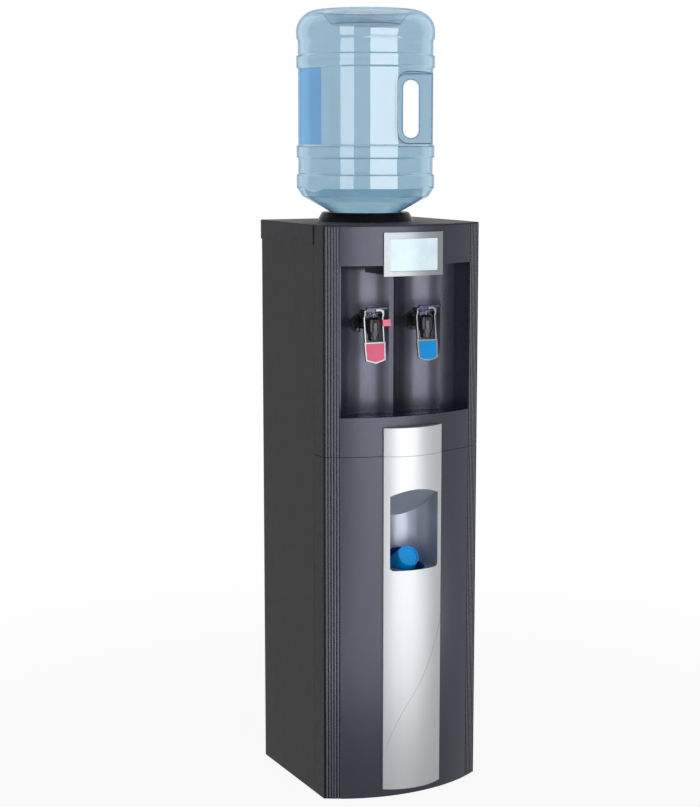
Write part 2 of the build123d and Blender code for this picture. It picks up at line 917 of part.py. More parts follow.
# ================================================================ refrigerant lines
def hose(points, radius, bend):
    """A round hose of straight runs joined by tangent bends."""
    start = Vector(*points[0])
    heading = (Vector(*points[1]) - start).normalized()
    with BuildPart() as tube:
        with BuildLine():
            path = FilletPolyline(*points, radius=bend)
        with BuildSketch(Plane(start, z_dir=heading)):
            Circle(radius)
        sweep(path=path)
    return tube.part


coil_radius = tank_radius + coil_tube_radius + fit
coil_low_z = tank_bottom_z + coil_rise
coil_first_z = coil_low_z + coil_tube_radius
coil_last_z = coil_first_z + coil_pitch * coil_turns
tube_y = back_y + condenser_standoff + condenser_wire + condenser_tube
bend_half = condenser_half - condenser_pitch / 2
condenser_top_z = condenser_bottom_z + condenser_pitch * (condenser_runs - 1)
stub_z = pan_floor + 55
stub_x = compressor_length / 2 + fit
drier_y = back_y - 30
drier_low_z = condenser_bottom_z + 38
crossing_y = shelf_front_y - 9
crossing_z = condenser_top_z - 44
capillary_x = coil_radius + 39

suction_route = [
    (coil_radius, bottle_y + fit, coil_last_z),
    (coil_radius, hot_tank_y, coil_last_z),
    (riser_x, hot_tank_y, coil_last_z - 30),
    (riser_x, hot_tank_y, stub_z),
    (riser_x, compressor_y, stub_z),
    (stub_x, compressor_y, stub_z),
]
discharge_route = [
    (-stub_x, compressor_y, stub_z),
    (-riser_x, compressor_y, stub_z),
    (-riser_x, hot_tank_y, stub_z),
    (-discharge_x, hot_tank_y, stub_z + 40),
    (-discharge_x, hot_tank_y, condenser_top_z),
    (-discharge_x, tube_y, condenser_top_z),
    (-bend_half - fit, tube_y, condenser_top_z),
]
liquid_route = [
    (-bend_half - fit, tube_y, condenser_bottom_z),
    (-drier_x, tube_y, condenser_bottom_z),
    (-drier_x, drier_y, condenser_bottom_z),
    (-drier_x, drier_y, drier_low_z - fit),
]
capillary_route = [
    (-drier_x, drier_y, drier_low_z + drier_length + fit),
    (-drier_x, drier_y, crossing_z),
    (-drier_x, crossing_y, crossing_z),
    (capillary_x, crossing_y, crossing_z),
    (capillary_x, crossing_y, coil_first_z),
    (coil_radius, bottle_y - 25, coil_first_z),
    (coil_radius, bottle_y - fit, coil_first_z),
]
lines = (
    (suction_route, pipe_radius), (discharge_route, pipe_radius), (liquid_route, pipe_radius),
    (capillary_route, capillary_radius),
)
refrigerant_pipes = Compound([hose(route, radius, pipe_bend) for route, radius in lines])
refrigerant_pipes.label = "refrigerant_pipes"
export_step(refrigerant_pipes, "parts/refrigerant_pipes.step")

# ways through foam and sheet for the lines
line_bores = [hose(route, radius + fit, pipe_bend) for route, radius in lines]

with BuildPart() as filter_drier:
    with BuildSketch(Plane((-drier_x, drier_y, 0), x_dir=(1, 0, 0), z_dir=(0, -1, 0))):
        with BuildLine():
            Polyline(
                (0, drier_low_z),
                (pipe_radius + 1, drier_low_z),
                (pipe_radius + 1, drier_low_z + 6),
                (drier_radius, drier_low_z + 16),
                (drier_radius, drier_low_z + drier_length - 16),
                (capillary_radius + 2, drier_low_z + drier_length - 6),
                (capillary_radius + 2, drier_low_z + drier_length),
                (0, drier_low_z + drier_length),
                close=True,
            )
        make_face()
    revolve(axis=Axis((-drier_x, drier_y, 0), (0, 0, 1)))
filter_drier.part.label = "filter_drier"
export_step(filter_drier.part, "parts/filter_drier.step")


# ================================================================ cabinet shell
cover_half = half_width + fit + skirt_wall
cover_side_y = return_y + fit

with BuildPart() as top_cover:
    extrude(bow_plan(half_width, cover_side_y, 0, cover_bottom_z), amount=cover_thickness)
    with Locations((0, (cover_side_y + back_y) / 2, cover_bottom_z + cover_thickness / 2)):
        Box(2 * cover_half, back_y - cover_side_y, cover_thickness)
    for side in (-1, 1):
        with Locations((side * (cover_half - skirt_wall / 2), (cover_side_y + back_y) / 2,
                        cabinet_height - cover_skirt / 2)):
            Box(skirt_wall, back_y - cover_side_y, cover_skirt)
    rim = top_cover.edges().filter_by(Plane.XY).group_by(Axis.Z)[-1]
    fillet(rim, cover_thickness / 2)
    with Locations((0, bottle_y, cover_bottom_z)):
        Cylinder(cover_hole, 20, mode=Mode.SUBTRACT)
top_cover.part.label = "top_cover"
export_step(top_cover.part, "parts/top_cover.step")

panel_bottom = foot_height
panel_top = cover_bottom_z - fit
panel_height = panel_top - panel_bottom
panel_front_y = return_y + fit


def side_panel(side):
    """Folded steel side with a flange turned in along each upright edge."""
    outer = side * half_width
    inner = side * (half_width - sheet)
    lip = side * (half_width - flange_width)
    rear = back_y - sheet - fit
    with BuildPart() as panel:
        with BuildSketch(Plane.XY.offset(panel_bottom)):
            with BuildLine():
                Polyline(
                    (outer, panel_front_y),
                    (lip, panel_front_y),
                    (lip, panel_front_y + sheet),
                    (inner, panel_front_y + sheet),
                    (inner, rear - sheet),
                    (lip, rear - sheet),
                    (lip, rear),
                    (outer, rear),
                    close=True,
                )
            make_face()
        extrude(amount=panel_height)
    return panel.part


side_panel_left = side_panel(-1)
side_panel_left.label = "side_panel_left"
export_step(side_panel_left, "parts/side_panel_left.step")

side_panel_right = side_panel(1)
side_panel_right.label = "side_panel_right"
export_step(side_panel_right, "parts/side_panel_right.step")

vent_rows = 9
vent_pitch = 12.0
vent_low_z = 60.0
vent_length = 180.0
vent_slot = 5.0
switch_z = 830.0
switch_x = 60.0
switch_width = 22.0
switch_height = 30.0
inlet_margin = 63.0
inlet_x = inlet_margin - half_width
inlet_z = 720.0
inlet_width = 30.0
inlet_height = 24.0
drain_z = 642.0
drain_radius = 8.0
thermostat_x = half_width - 58
thermostat_z = 900.0
spindle_radius = 3.0

with BuildPart() as back_panel:
    with BuildSketch(Plane.XZ.offset(-back_y)):
        with Locations((0, panel_bottom + panel_height / 2)):
            Rectangle(cabinet_width - 2 * fit, panel_height)
        for row in range(vent_rows):
            with Locations((0, vent_low_z + row * vent_pitch)):
                SlotOverall(vent_length, vent_slot, mode=Mode.SUBTRACT)
        for side in (-1, 1):
            with Locations((side * switch_x, switch_z)):
                Rectangle(switch_width, switch_height, mode=Mode.SUBTRACT)
        with Locations((inlet_x, inlet_z)):
            Rectangle(inlet_width, inlet_height, mode=Mode.SUBTRACT)
        with Locations((0, drain_z)):
            Circle(drain_radius, mode=Mode.SUBTRACT)
        with Locations((thermostat_x, thermostat_z)):
            Circle(spindle_radius + fit, mode=Mode.SUBTRACT)
    extrude(amount=sheet)
    for bore in line_bores:
        add(bore, mode=Mode.SUBTRACT)
back_panel.part.label = "back_panel"
export_step(back_panel.part, "parts/back_panel.step")

pan_flange = 18.0
foot_radius = 14.0
foot_stud = 3.0
foot_inset = 45.0
foot_front_y = return_y - 8
foot_spots = [
    (side * (half_width - foot_inset), y)
    for side in (-1, 1)
    for y in (foot_front_y, back_y - foot_inset)
]
pan_rear_y = back_y - 2 * sheet - 2 * fit

with BuildPart() as base_pan:
    pan_half = half_width - wall - fit
    extrude(bow_plan(pan_half, pan_rear_y, wall + fit, pan_z), amount=pan_flange)
    inner_pan = bow_plan(
        pan_half - sheet, pan_rear_y - sheet, wall + fit + sheet, pan_z + sheet
    )
    extrude(inner_pan, amount=pan_flange, mode=Mode.SUBTRACT)
    with Locations(*[(x, y, pan_z) for x, y in foot_spots]):
        Cylinder(foot_stud + fit, 10, mode=Mode.SUBTRACT)
    # notches let the front flanges of the sides pass
    for side in (-1, 1):
        with Locations((side * half_width, panel_front_y + sheet / 2, pan_z)):
            Box(2 * flange_width + 2 * fit, sheet + 2 * fit, 3 * pan_flange, mode=Mode.SUBTRACT)
base_pan.part.label = "base_pan"
export_step(base_pan.part, "parts/base_pan.step")

with BuildPart() as feet:
    for x, y in foot_spots:
        with BuildSketch(Plane((x, y, 0), x_dir=(1, 0, 0), z_dir=(0, -1, 0))):
            with BuildLine():
                Polyline(
                    (0, 0), (foot_radius - 2, 0), (foot_radius, 2), (foot_radius - 1, pan_z),
                    (foot_stud, pan_z), (foot_stud, pan_z + 8), (0, pan_z + 8), close=True,
                )
            make_face()
        revolve(axis=Axis((x, y, 0), (0, 0, 1)))
feet.part.label = "feet"
export_step(feet.part, "parts/feet.step")


# ================================================================ taps
lean = math.radians(paddle_lean)
lean_down = Vector(0, -math.sin(lean), -math.cos(lean))


def side_plane(x):
    """Plane across the tap: sketch x runs back along +Y, sketch y up."""
    return Plane((x, 0, 0), x_dir=(0, 1, 0), z_dir=(1, 0, 0))


def paddle_outline(plane, margin, pointed):
    """Front view of the paddle, square at the top, pointed or round below."""
    half = paddle_half
    low = -paddle_height
    with BuildSketch(plane) as outline:
        with BuildLine():
            Polyline((-half + 1.5, low + 6), (-half, 0), (half, 0), (half - 1.5, low + 6))
            if pointed:
                Polyline((half - 1.5, low + 6), (0, low), (-half + 1.5, low + 6))
            else:
                ThreePointArc((half - 1.5, low + 6), (0, low), (-half + 1.5, low + 6))
        make_face()
        if margin:
            offset(amount=-margin, mode=Mode.REPLACE)
    return outline.sketch


crest_z = pivot_z + 9
crest_y = valve_y - 2.2
crest_thickness = 2.0
crest_width = 3.5
crest_round = 9.0
crest_left = 4.0
bridge_height = 4.5
bridge_rear = 5.0


def make_tap(name, x, pointed):
    """One push-back tap: body, lever with its insert, stem and spring."""
    section = Plane((x, valve_y, 0), x_dir=(1, 0, 0), z_dir=(0, -1, 0))
    valve_axis = Axis((x, valve_y, 0), (0, 0, 1))
    seat_z = spout_z + 15
    step_z_in = spout_z + 4
    chamber_top = dome_top_z - 7

    with BuildPart() as tap_body:
        with BuildSketch(section):
            with BuildLine():
                Polyline(
                    (0, spout_z),
                    (spout_radius - 1, spout_z),
                    (spout_radius, spout_z + 1.5),
                    (spout_radius + 0.5, spout_z + 9),
                    (valve_radius - 0.5, spout_z + 17),
                    (valve_radius, dome_top_z - 12),
                    (valve_radius - 2, dome_top_z - 4),
                    (valve_radius - 7, dome_top_z),
                    (0, dome_top_z),
                    close=True,
                )
            make_face()
        revolve(axis=valve_axis)
        with Locations((x, (valve_y + pad_y) / 2, barrel_z)):
            Cylinder(barrel_radius, pad_y - valve_y, rotation=(90, 0, 0))
        with Locations((x, pad_y - flange_thickness / 2, barrel_z)):
            Cylinder(flange_radius, flange_thickness, rotation=(90, 0, 0))
        with Locations((x, (pad_y + shank_end_y) / 2, barrel_z)):
            Cylinder(shank_radius, shank_end_y - pad_y, rotation=(90, 0, 0))
        # two ears carry the lever's pin
        for side in (-1, 1):
            with BuildSketch(side_plane(x + side * (ear_inner + ear_outer) / 2)):
                with BuildLine():
                    Polyline(
                        (pivot_y - 4, pivot_z), (pivot_y - 8, barrel_z), (pivot_y + 8, barrel_z),
                        (pivot_y + 4, pivot_z), close=True,
                    )
                make_face()
                with Locations((pivot_y, pivot_z)):
                    Circle(4)
            extrude(amount=(ear_outer - ear_inner) / 2, both=True)
        # waterways
        with BuildSketch(section):
            with BuildLine():
                Polyline(
                    (0, spout_z - 1),
                    (seat_radius, spout_z - 1),
                    (seat_radius, step_z_in),
                    (passage_radius, step_z_in),
                    (passage_radius, seat_z),
                    (seat_radius, seat_z),
                    (seat_radius, seat_z + 2),
                    (chamber_radius, seat_z + 2),
                    (chamber_radius, chamber_top),
                    (stem_radius + running_fit, chamber_top),
                    (stem_radius + running_fit, dome_top_z + 1),
                    (0, dome_top_z + 1),
                    close=True,
                )
            make_face()
        revolve(axis=valve_axis, mode=Mode.SUBTRACT)
        with Locations((x, (valve_y + 4 + shank_end_y + 5) / 2, barrel_z)):
            Cylinder(
                shank_bore, shank_end_y + 5 - valve_y - 4, rotation=(90, 0, 0), mode=Mode.SUBTRACT
            )
        with Locations((x, pivot_y, pivot_z)):
            Cylinder(
                pin_radius + running_fit, 3 * ear_outer, rotation=(0, 90, 0), mode=Mode.SUBTRACT
            )
    tap_body.part.label = f"{name}_tap_body"
    export_step(tap_body.part, f"parts/{name}_tap_body.step")

    plug_top = seat_z - fit
    with BuildPart() as stem:
        with BuildSketch(section):
            with BuildLine():
                Polyline(
                    (0, plug_top - 4),
                    (passage_radius - 1, plug_top - 4),
                    (passage_radius - 1, plug_top - 1.5),
                    (stem_radius + 1.5, plug_top),
                    (stem_radius, plug_top),
                    (stem_radius, stem_top_z - 3),
                    (stem_head_radius, stem_top_z - 3),
                    (stem_head_radius, stem_top_z - 1),
                    (stem_head_radius - 2, stem_top_z),
                    (0, stem_top_z),
                    close=True,
                )
            make_face()
        revolve(axis=valve_axis)
    stem.part.label = f"{name}_stem"
    export_step(stem.part, f"parts/{name}_stem.step")

    spring_low = step_z_in + fit / 2
    spring = coil_spring(
        Plane((x, valve_y, spring_low), x_dir=(1, 0, 0), z_dir=(0, 0, 1)),
        passage_radius - 1.2, 0.4, plug_top - 4 - fit / 2 - spring_low, 3,
    )
    spring.label = f"{name}_stem_spring"
    export_step(spring, f"parts/{name}_stem_spring.step")

    # lever: two cheeks, a cap over the stem and a leaning paddle
    paddle_y = valve_y - paddle_lead
    paddle_plane = Plane(
        (x, paddle_y, paddle_top_z), x_dir=(1, 0, 0), z_dir=Vector(1, 0, 0).cross(-lean_down)
    )
    foot = paddle_plane.origin + lean_down * (paddle_height - 9)
    neck = paddle_plane.origin - lean_down * (pivot_z - 8 - paddle_top_z)
    with BuildPart() as lever:
        for side in (-1, 1):
            with BuildSketch(side_plane(x + side * (arm_inner + arm_outer) / 2)):
                with BuildLine():
                    Polyline(
                        (pivot_y + 4.5, pivot_z + 4),
                        (pivot_y + 4.5, pivot_z - 4),
                        (neck.Y + 3, neck.Z),
                        (neck.Y, neck.Z - 8),
                        (foot.Y, foot.Z),
                        (foot.Y - paddle_thickness, foot.Z),
                        (neck.Y - paddle_thickness, neck.Z),
                        (crest_y - crest_thickness, pivot_z),
                        (crest_y - crest_thickness, crest_z - 2),
                        (crest_y, crest_z),
                        (pivot_y - 3, crest_z),
                        close=True,
                    )
                make_face()
            extrude(amount=(arm_outer - arm_inner) / 2, both=True)
        # a rounded crest turns in from the right arm
        with BuildSketch(Plane((x, crest_y, crest_z), x_dir=(1, 0, 0), z_dir=(0, -1, 0))):
            with BuildLine():
                over = ThreePointArc(
                    (arm_outer - crest_round, 0),
                    (arm_outer - crest_round * 0.293, -crest_round * 0.293),
                    (arm_outer, -crest_round),
                )
                under = ThreePointArc(
                    (arm_inner - 1, -crest_round),
                    (arm_outer - crest_round * 0.6, -crest_round * 0.6),
                    (arm_outer - crest_round, -crest_width),
                )
                Polyline(over @ 1, (arm_outer, -1.5 * crest_round), (arm_inner - 1, -1.5 * crest_round),
                         under @ 0)
                Polyline(under @ 1, (crest_left, -crest_width), (crest_left, 0), over @ 0)
            make_face()
        extrude(amount=crest_thickness)
        extrude(paddle_outline(paddle_plane, 0, pointed), amount=paddle_thickness)
        pocket = paddle_outline(
            paddle_plane.offset(paddle_thickness - insert_depth), insert_margin, pointed
        )
        extrude(pocket, amount=insert_depth, mode=Mode.SUBTRACT)
        with Locations((x, pivot_y, pivot_z)):
            Cylinder(
                pin_radius + running_fit, 3 * arm_outer, rotation=(0, 90, 0), mode=Mode.SUBTRACT
            )
    lever.part.label = f"{name}_lever"
    export_step(lever.part, f"parts/{name}_lever.step")

    # a dark cap bridges the arms, bears on the stem and reaches out as a thumb tab
    with BuildPart() as cap:
        with Locations((x, (crest_y + fit + valve_y + bridge_rear) / 2, crest_z - bridge_height / 2)):
            Box(2 * (arm_inner - insert_gap), valve_y + bridge_rear - crest_y - fit, bridge_height)
        with Locations((x, valve_y, (stem_top_z + fit + crest_z) / 2)):
            Box(6, 3, crest_z - stem_top_z - fit)
        tab_middle = (lever_cap_right - lever_cap_left) / 2
        with Locations((x, valve_y + 1.5, crest_z + insert_gap / 2)):
            Box(2 * lever_cap_left - 6, 5, insert_gap)
        with BuildSketch(Plane.XY.offset(crest_z + insert_gap)):
            with Locations((x + tab_middle, valve_y + 1)):
                SlotOverall(lever_cap_left + lever_cap_right, lever_cap_depth)
        extrude(amount=lever_cap_thickness)
        tab_rim = cap.edges().group_by(Axis.Z)[-1]
        fillet(tab_rim, lever_cap_thickness / 2)
    cap.part.label = f"{name}_lever_cap"
    export_step(cap.part, f"parts/{name}_lever_cap.step")

    insert = extrude(
        paddle_outline(
            paddle_plane.offset(paddle_thickness - insert_depth), insert_margin + insert_gap,
            pointed,
        ),
        amount=insert_depth,
    )
    insert.label = f"{name}_lever_insert"
    export_step(insert, f"parts/{name}_lever_insert.step")


make_tap("hot", -tap_x, True)
make_tap("cold", tap_x, False)

with BuildPart() as lever_pins:
    for side in (-1, 1):
        with Locations((side * tap_x, pivot_y, pivot_z)):
            Cylinder(pin_radius, 2 * arm_outer - 0.4, rotation=(0, 90, 0))
lever_pins.part.label = "lever_pins"
export_step(lever_pins.part, "parts/lever_pins.step")

nut_flats = 24.0
nut_thickness = 6.0

with BuildPart() as tap_nuts:
    for side in (-1, 1):
        nut_plane = Plane(
            (side * tap_x, bay_y + liner_wall + fit, barrel_z), x_dir=(1, 0, 0), z_dir=(0, 1, 0)
        )
        with BuildSketch(nut_plane):
            RegularPolygon(nut_flats / 2, 6, major_radius=False)
            Circle(shank_radius + running_fit, mode=Mode.SUBTRACT)
        extrude(amount=nut_thickness)
tap_nuts.part.label = "tap_nuts"
export_step(tap_nuts.part, "parts/tap_nuts.step")

# the red catch slides down the right cheek of the hot lever
catch_z = 929.0
catch_width = 17.0
catch_height = 12.5
catch_front = 5.5
catch_overlap = 4.5
arm_front_y = valve_y - paddle_lead - paddle_thickness / math.cos(lean)
catch_plane = Plane(
    (-tap_x + arm_outer, arm_front_y + (catch_z - paddle_top_z) * math.tan(lean), catch_z),
    x_dir=(1, 0, 0), z_dir=-lean_down,
)

with BuildPart() as hot_catch:
    with BuildSketch(catch_plane.offset(-catch_height / 2)):
        with BuildLine():
            Polyline(
                (-catch_overlap, -fit), (-catch_overlap, -catch_front),
                (catch_width - catch_overlap, -catch_front),
                (catch_width - catch_overlap, paddle_thickness), (fit, paddle_thickness),
                (fit, -fit), close=True,
            )
        make_face()
    extrude(amount=catch_height)
    fillet(hot_catch.edges().filter_by(GeomType.LINE).group_by(Axis.Y)[0], 1.8)
hot_catch.part.label = "hot_catch"
export_step(hot_catch.part, "parts/hot_catch.step")


# ================================================================ water circuit
outlet_x = 40.0
outlet_drop = 8.0

with BuildPart() as tank_shelf:
    shelf_half = half_width - sheet - fit
    shelf_length = back_y - 2 * sheet - 2 * fit - shelf_front_y
    shelf_mid_y = shelf_front_y + shelf_length / 2
    with Locations((0, shelf_mid_y, shelf_z + sheet / 2)):
        Box(2 * shelf_half, shelf_length, sheet)
    for side in (-1, 1):
        with Locations((side * (shelf_half - sheet / 2), shelf_mid_y, shelf_z - 9)):
            Box(sheet, shelf_length - 2 * flange_width, 18 + sheet)
    with Locations((0, shelf_front_y + sheet / 2, shelf_z - 6)):
        Box(2 * shelf_half - 30, sheet, 12)
    with Locations((outlet_x, bottle_y, shelf_z)):
        Cylinder(hose_radius + 1, 10, mode=Mode.SUBTRACT)
    add(line_bores[0], mode=Mode.SUBTRACT)
tank_shelf.part.label = "tank_shelf"
export_step(tank_shelf.part, "parts/tank_shelf.step")

with BuildPart() as cold_tank:
    with BuildSketch(Plane((0, bottle_y, 0), x_dir=(1, 0, 0), z_dir=(0, -1, 0))):
        with BuildLine():
            Polyline(
                (0, tank_bottom_z),
                (tank_radius - 6, tank_bottom_z),
                (tank_radius, tank_bottom_z + 6),
                (tank_radius, tank_top_z - 2),
                (tank_radius + 2, tank_top_z),
                (tank_radius - tank_skin, tank_top_z),
                (tank_radius - tank_skin, tank_bottom_z + 6.5),
                (tank_radius - 6.5, tank_bottom_z + tank_skin),
                (0, tank_bottom_z + tank_skin),
                close=True,
            )
        make_face()
    revolve(axis=bottle_axis)
    with Locations((outlet_x, bottle_y, (shelf_z - outlet_drop + tank_bottom_z + tank_skin) / 2)):
        Cylinder(hose_radius - 1.5, tank_bottom_z + tank_skin - shelf_z + outlet_drop)
        Cylinder(
            hose_radius - 2.5, tank_bottom_z + tank_skin - shelf_z + outlet_drop + 4,
            mode=Mode.SUBTRACT,
        )
cold_tank.part.label = "cold_tank"
export_step(cold_tank.part, "parts/cold_tank.step")

evaporator_coil = coil_spring(
    Plane((0, bottle_y, coil_low_z), x_dir=(1, 0, 0), z_dir=(0, 0, 1)),
    coil_radius, coil_tube_radius, coil_pitch * coil_turns + 2 * coil_tube_radius, coil_turns,
)
evaporator_coil.label = "evaporator_coil"
export_step(evaporator_coil, "parts/evaporator_coil.step")

cavity_radius = coil_radius + coil_tube_radius + fit
lid_split_z = tank_top_z + fit

with BuildPart() as tank_insulation:
    with BuildSketch(Plane((0, bottle_y, 0), x_dir=(1, 0, 0), z_dir=(0, -1, 0))):
        with BuildLine():
            Polyline(
                (0, shelf_z + sheet),
                (insulation_radius, shelf_z + sheet),
                (insulation_radius, lid_split_z),
                (cavity_radius, lid_split_z),
                (cavity_radius, tank_bottom_z - fit),
                (0, tank_bottom_z - fit),
                close=True,
            )
        make_face()
    revolve(axis=bottle_axis)
    with BuildSketch(Plane((0, bottle_y, 0), x_dir=(1, 0, 0), z_dir=(0, -1, 0))):
        with BuildLine():
            Polyline(
                (guide_radius + collar_wall + fit, lid_split_z + 0.2),
                (insulation_radius, lid_split_z + 0.2),
                (insulation_radius, insulation_top_z),
                (guide_radius + collar_wall + fit, insulation_top_z),
                close=True,
            )
        make_face()
    revolve(axis=bottle_axis)
    with Locations((outlet_x, bottle_y, (shelf_z + tank_bottom_z) / 2)):
        Cylinder(hose_radius - 1, tank_bottom_z - shelf_z + 6, mode=Mode.SUBTRACT)
    for bore in (line_bores[0], line_bores[3]):
        add(bore, mode=Mode.SUBTRACT)
tank_insulation.part.label = "tank_insulation"
export_step(tank_insulation.part, "parts/tank_insulation.step")

hot_top_z = shelf_z - hot_tank_drop
hot_bottom_z = hot_top_z - hot_tank_height
hot_plane = Plane((0, hot_tank_y, 0), x_dir=(1, 0, 0), z_dir=(0, -1, 0))
hot_axis = Axis((0, hot_tank_y, 0), (0, 0, 1))
spigot_x = -25.0
spigot_rise = 80.0
spigot_run = 30.0
spigot_z = hot_bottom_z + spigot_rise
spigot_y = hot_tank_y - jacket_radius - 8


def hot_profile(inset):
    """Half section of the domed hot tank, moved inwards by inset."""
    radius = hot_tank_radius - inset
    high = hot_top_z - inset
    low = hot_bottom_z + inset
    with BuildSketch(hot_plane) as profile:
        with BuildLine():
            Polyline(
                (0, high), (radius * 0.6, high - 3), (radius - 4, high - 9), (radius, high - 15),
                (radius, low + 15), (radius - 4, low + 9), (radius * 0.6, low + 3), (0, low),
                close=True,
            )
        make_face()
    return profile.sketch


with BuildPart() as hot_tank:
    add(hot_profile(0))
    revolve(axis=hot_axis)
    add(hot_profile(tank_skin))
    revolve(axis=hot_axis, mode=Mode.SUBTRACT)
    # studs that hang the tank from the shelf
    with Locations((0, hot_tank_y, shelf_z - 14)):
        with PolarLocations(30, 3):
            Cylinder(4, 28)
    spigot_end_y = hot_tank_y - hot_tank_radius * 0.8
    with Locations((spigot_x, (spigot_y + spigot_end_y) / 2, spigot_z)):
        Cylinder(hose_radius - 1.5, spigot_end_y - spigot_y, rotation=(90, 0, 0))
    # drain pipe through the back panel
    with Locations((0, hot_tank_y, (hot_bottom_z + 4 + drain_z) / 2)):
        Cylinder(drain_radius - 2, hot_bottom_z + 4 - drain_z)
    with Locations((0, (hot_tank_y - 6 + back_y + 10) / 2, drain_z)):
        Cylinder(drain_radius - 2, back_y + 16 - hot_tank_y, rotation=(90, 0, 0))
hot_tank.part.label = "hot_tank"
export_step(hot_tank.part, "parts/hot_tank.step")

with BuildPart() as hot_tank_jacket:
    with BuildSketch(hot_plane):
        with Locations(
            ((hot_tank_radius + fit + jacket_radius) / 2, (hot_top_z + hot_bottom_z) / 2)
        ):
            Rectangle(jacket_radius - hot_tank_radius - fit, hot_tank_height - 34)
    revolve(axis=hot_axis)
    with Locations((spigot_x, (spigot_y + hot_tank_y) / 2, spigot_z)):
        Cylinder(
            hose_radius - 1.5 + fit, hot_tank_y - spigot_y, rotation=(90, 0, 0),
            mode=Mode.SUBTRACT,
        )
hot_tank_jacket.part.label = "hot_tank_jacket"
export_step(hot_tank_jacket.part, "parts/hot_tank_jacket.step")

with BuildPart() as drain_cap:
    with BuildSketch(Plane.XZ.offset(-back_y)):
        with Locations((0, drain_z)):
            Circle(drain_radius + 3)
            with PolarLocations(drain_radius + 3, 12):
                Circle(1.2, mode=Mode.SUBTRACT)
    extrude(amount=-14)
    with Locations((0, back_y + 5, drain_z)):
        Cylinder(drain_radius - 2 + running_fit, 10.6, rotation=(90, 0, 0), mode=Mode.SUBTRACT)
drain_cap.part.label = "drain_cap"
export_step(drain_cap.part, "parts/drain_cap.step")


hose_y = shank_end_y + hose_bend
cold_route = [
    (tap_x, shank_end_y + fit, barrel_z),
    (tap_x, hose_y + 2, barrel_z),
    (tap_x, hose_y + 2, shelf_z - 38),
    (outlet_x, bottle_y, shelf_z - 38),
    (outlet_x, bottle_y, shelf_z - outlet_drop - fit),
]
hot_route = [
    (-tap_x, shank_end_y + fit, barrel_z),
    (-tap_x, hose_y + 2, barrel_z),
    (-tap_x, hose_y + 2, spigot_z),
    (spigot_x, spigot_y - spigot_run, spigot_z),
    (spigot_x, spigot_y - fit, spigot_z),
]
water_hoses = Compound([hose(route, hose_radius, hose_bend) for route in (cold_route, hot_route)])
water_hoses.label = "water_hoses"
export_step(water_hoses, "parts/water_hoses.step")


# ================================================================ refrigeration
mount_x = 70.0
mount_y = 42.0
mount_spots = [
    (sx * mount_x, compressor_y + sy * mount_y) for sx in (-1, 1) for sy in (-1, 1)
]
plate_z = pan_floor + mount_height
body_z = plate_z + 3

with BuildPart() as compressor:
    with BuildSketch(Plane.XY.offset(plate_z)):
        with Locations((0, compressor_y)):
            RectangleRounded(2 * mount_x + 26, 2 * mount_y + 26, 12)
        with Locations(*mount_spots):
            Circle(5, mode=Mode.SUBTRACT)
    extrude(amount=2.5)
    with BuildSketch(Plane.XY.offset(body_z - 1)):
        with Locations((0, compressor_y)):
            Ellipse(compressor_length / 2, compressor_width / 2)
    extrude(amount=compressor_height)
    fillet(compressor.edges().group_by(Axis.Z)[-1], 34)
    # welded seam round the middle of the can
    with BuildSketch(Plane.XY.offset(body_z + compressor_height * 0.45)):
        with Locations((0, compressor_y)):
            Ellipse(compressor_length / 2 + 4, compressor_width / 2 + 4)
    extrude(amount=5)
compressor.part.label = "compressor"
export_step(compressor.part, "parts/compressor.step")

with BuildPart() as compressor_mounts:
    for x, y in mount_spots:
        with BuildSketch(Plane((x, y, 0), x_dir=(1, 0, 0), z_dir=(0, -1, 0))):
            with BuildLine():
                Polyline(
                    (0, pan_floor), (10, pan_floor), (10, plate_z), (4.8, plate_z),
                    (4.8, plate_z + 2.5), (8, plate_z + 2.8), (8, plate_z + 6),
                    (0, plate_z + 6), close=True,
                )
            make_face()
        revolve(axis=Axis((x, y, 0), (0, 0, 1)))
compressor_mounts.part.label = "compressor_mounts"
export_step(compressor_mounts.part, "parts/compressor_mounts.step")

def serpentine():
    """Centre line of the condenser tube, run after run up the back."""
    with BuildLine() as route:
        for run in range(condenser_runs):
            z = condenser_bottom_z + run * condenser_pitch
            side = 1 if run % 2 == 0 else -1
            Line((-side * bend_half, tube_y, z), (side * bend_half, tube_y, z))
            if run < condenser_runs - 1:
                ThreePointArc(
                    (side * bend_half, tube_y, z),
                    (side * (bend_half + condenser_pitch / 2), tube_y, z + condenser_pitch / 2),
                    (side * bend_half, tube_y, z + condenser_pitch),
                )
    return route.wires()[0]


wire_count = int(2 * (bend_half - 8) / wire_pitch) + 1
wire_first = -wire_pitch * (wire_count - 1) / 2
wire_length = condenser_top_z - condenser_bottom_z + 30

with BuildPart() as condenser:
    condenser_path = serpentine()
    with BuildSketch(Plane((-bend_half, tube_y, condenser_bottom_z), z_dir=(1, 0, 0))):
        Circle(condenser_tube)
    sweep(path=condenser_path)
    for row_y in (tube_y - condenser_tube, tube_y + condenser_tube):
        for i in range(wire_count):
            with Locations((wire_first + i * wire_pitch, row_y,
                            (condenser_top_z + condenser_bottom_z) / 2)):
                Box(condenser_wire, condenser_wire, wire_length)
    # brackets that stand the grid off the back panel
    for z in (condenser_bottom_z + condenser_pitch, condenser_top_z - condenser_pitch):
        for side in (-1, 1):
            with Locations((side * (bend_half - 14), (back_y + tube_y) / 2, z)):
                Box(14, tube_y - back_y, 2)
condenser.part.label = "condenser"
export_step(condenser.part, "parts/condenser.step")

# ================================================================ electrics
frame_flange = 2.5
housing_depth = 18.0
pocket_half_x = switch_width / 2 - 3
pocket_half_z = switch_height / 2 - 4

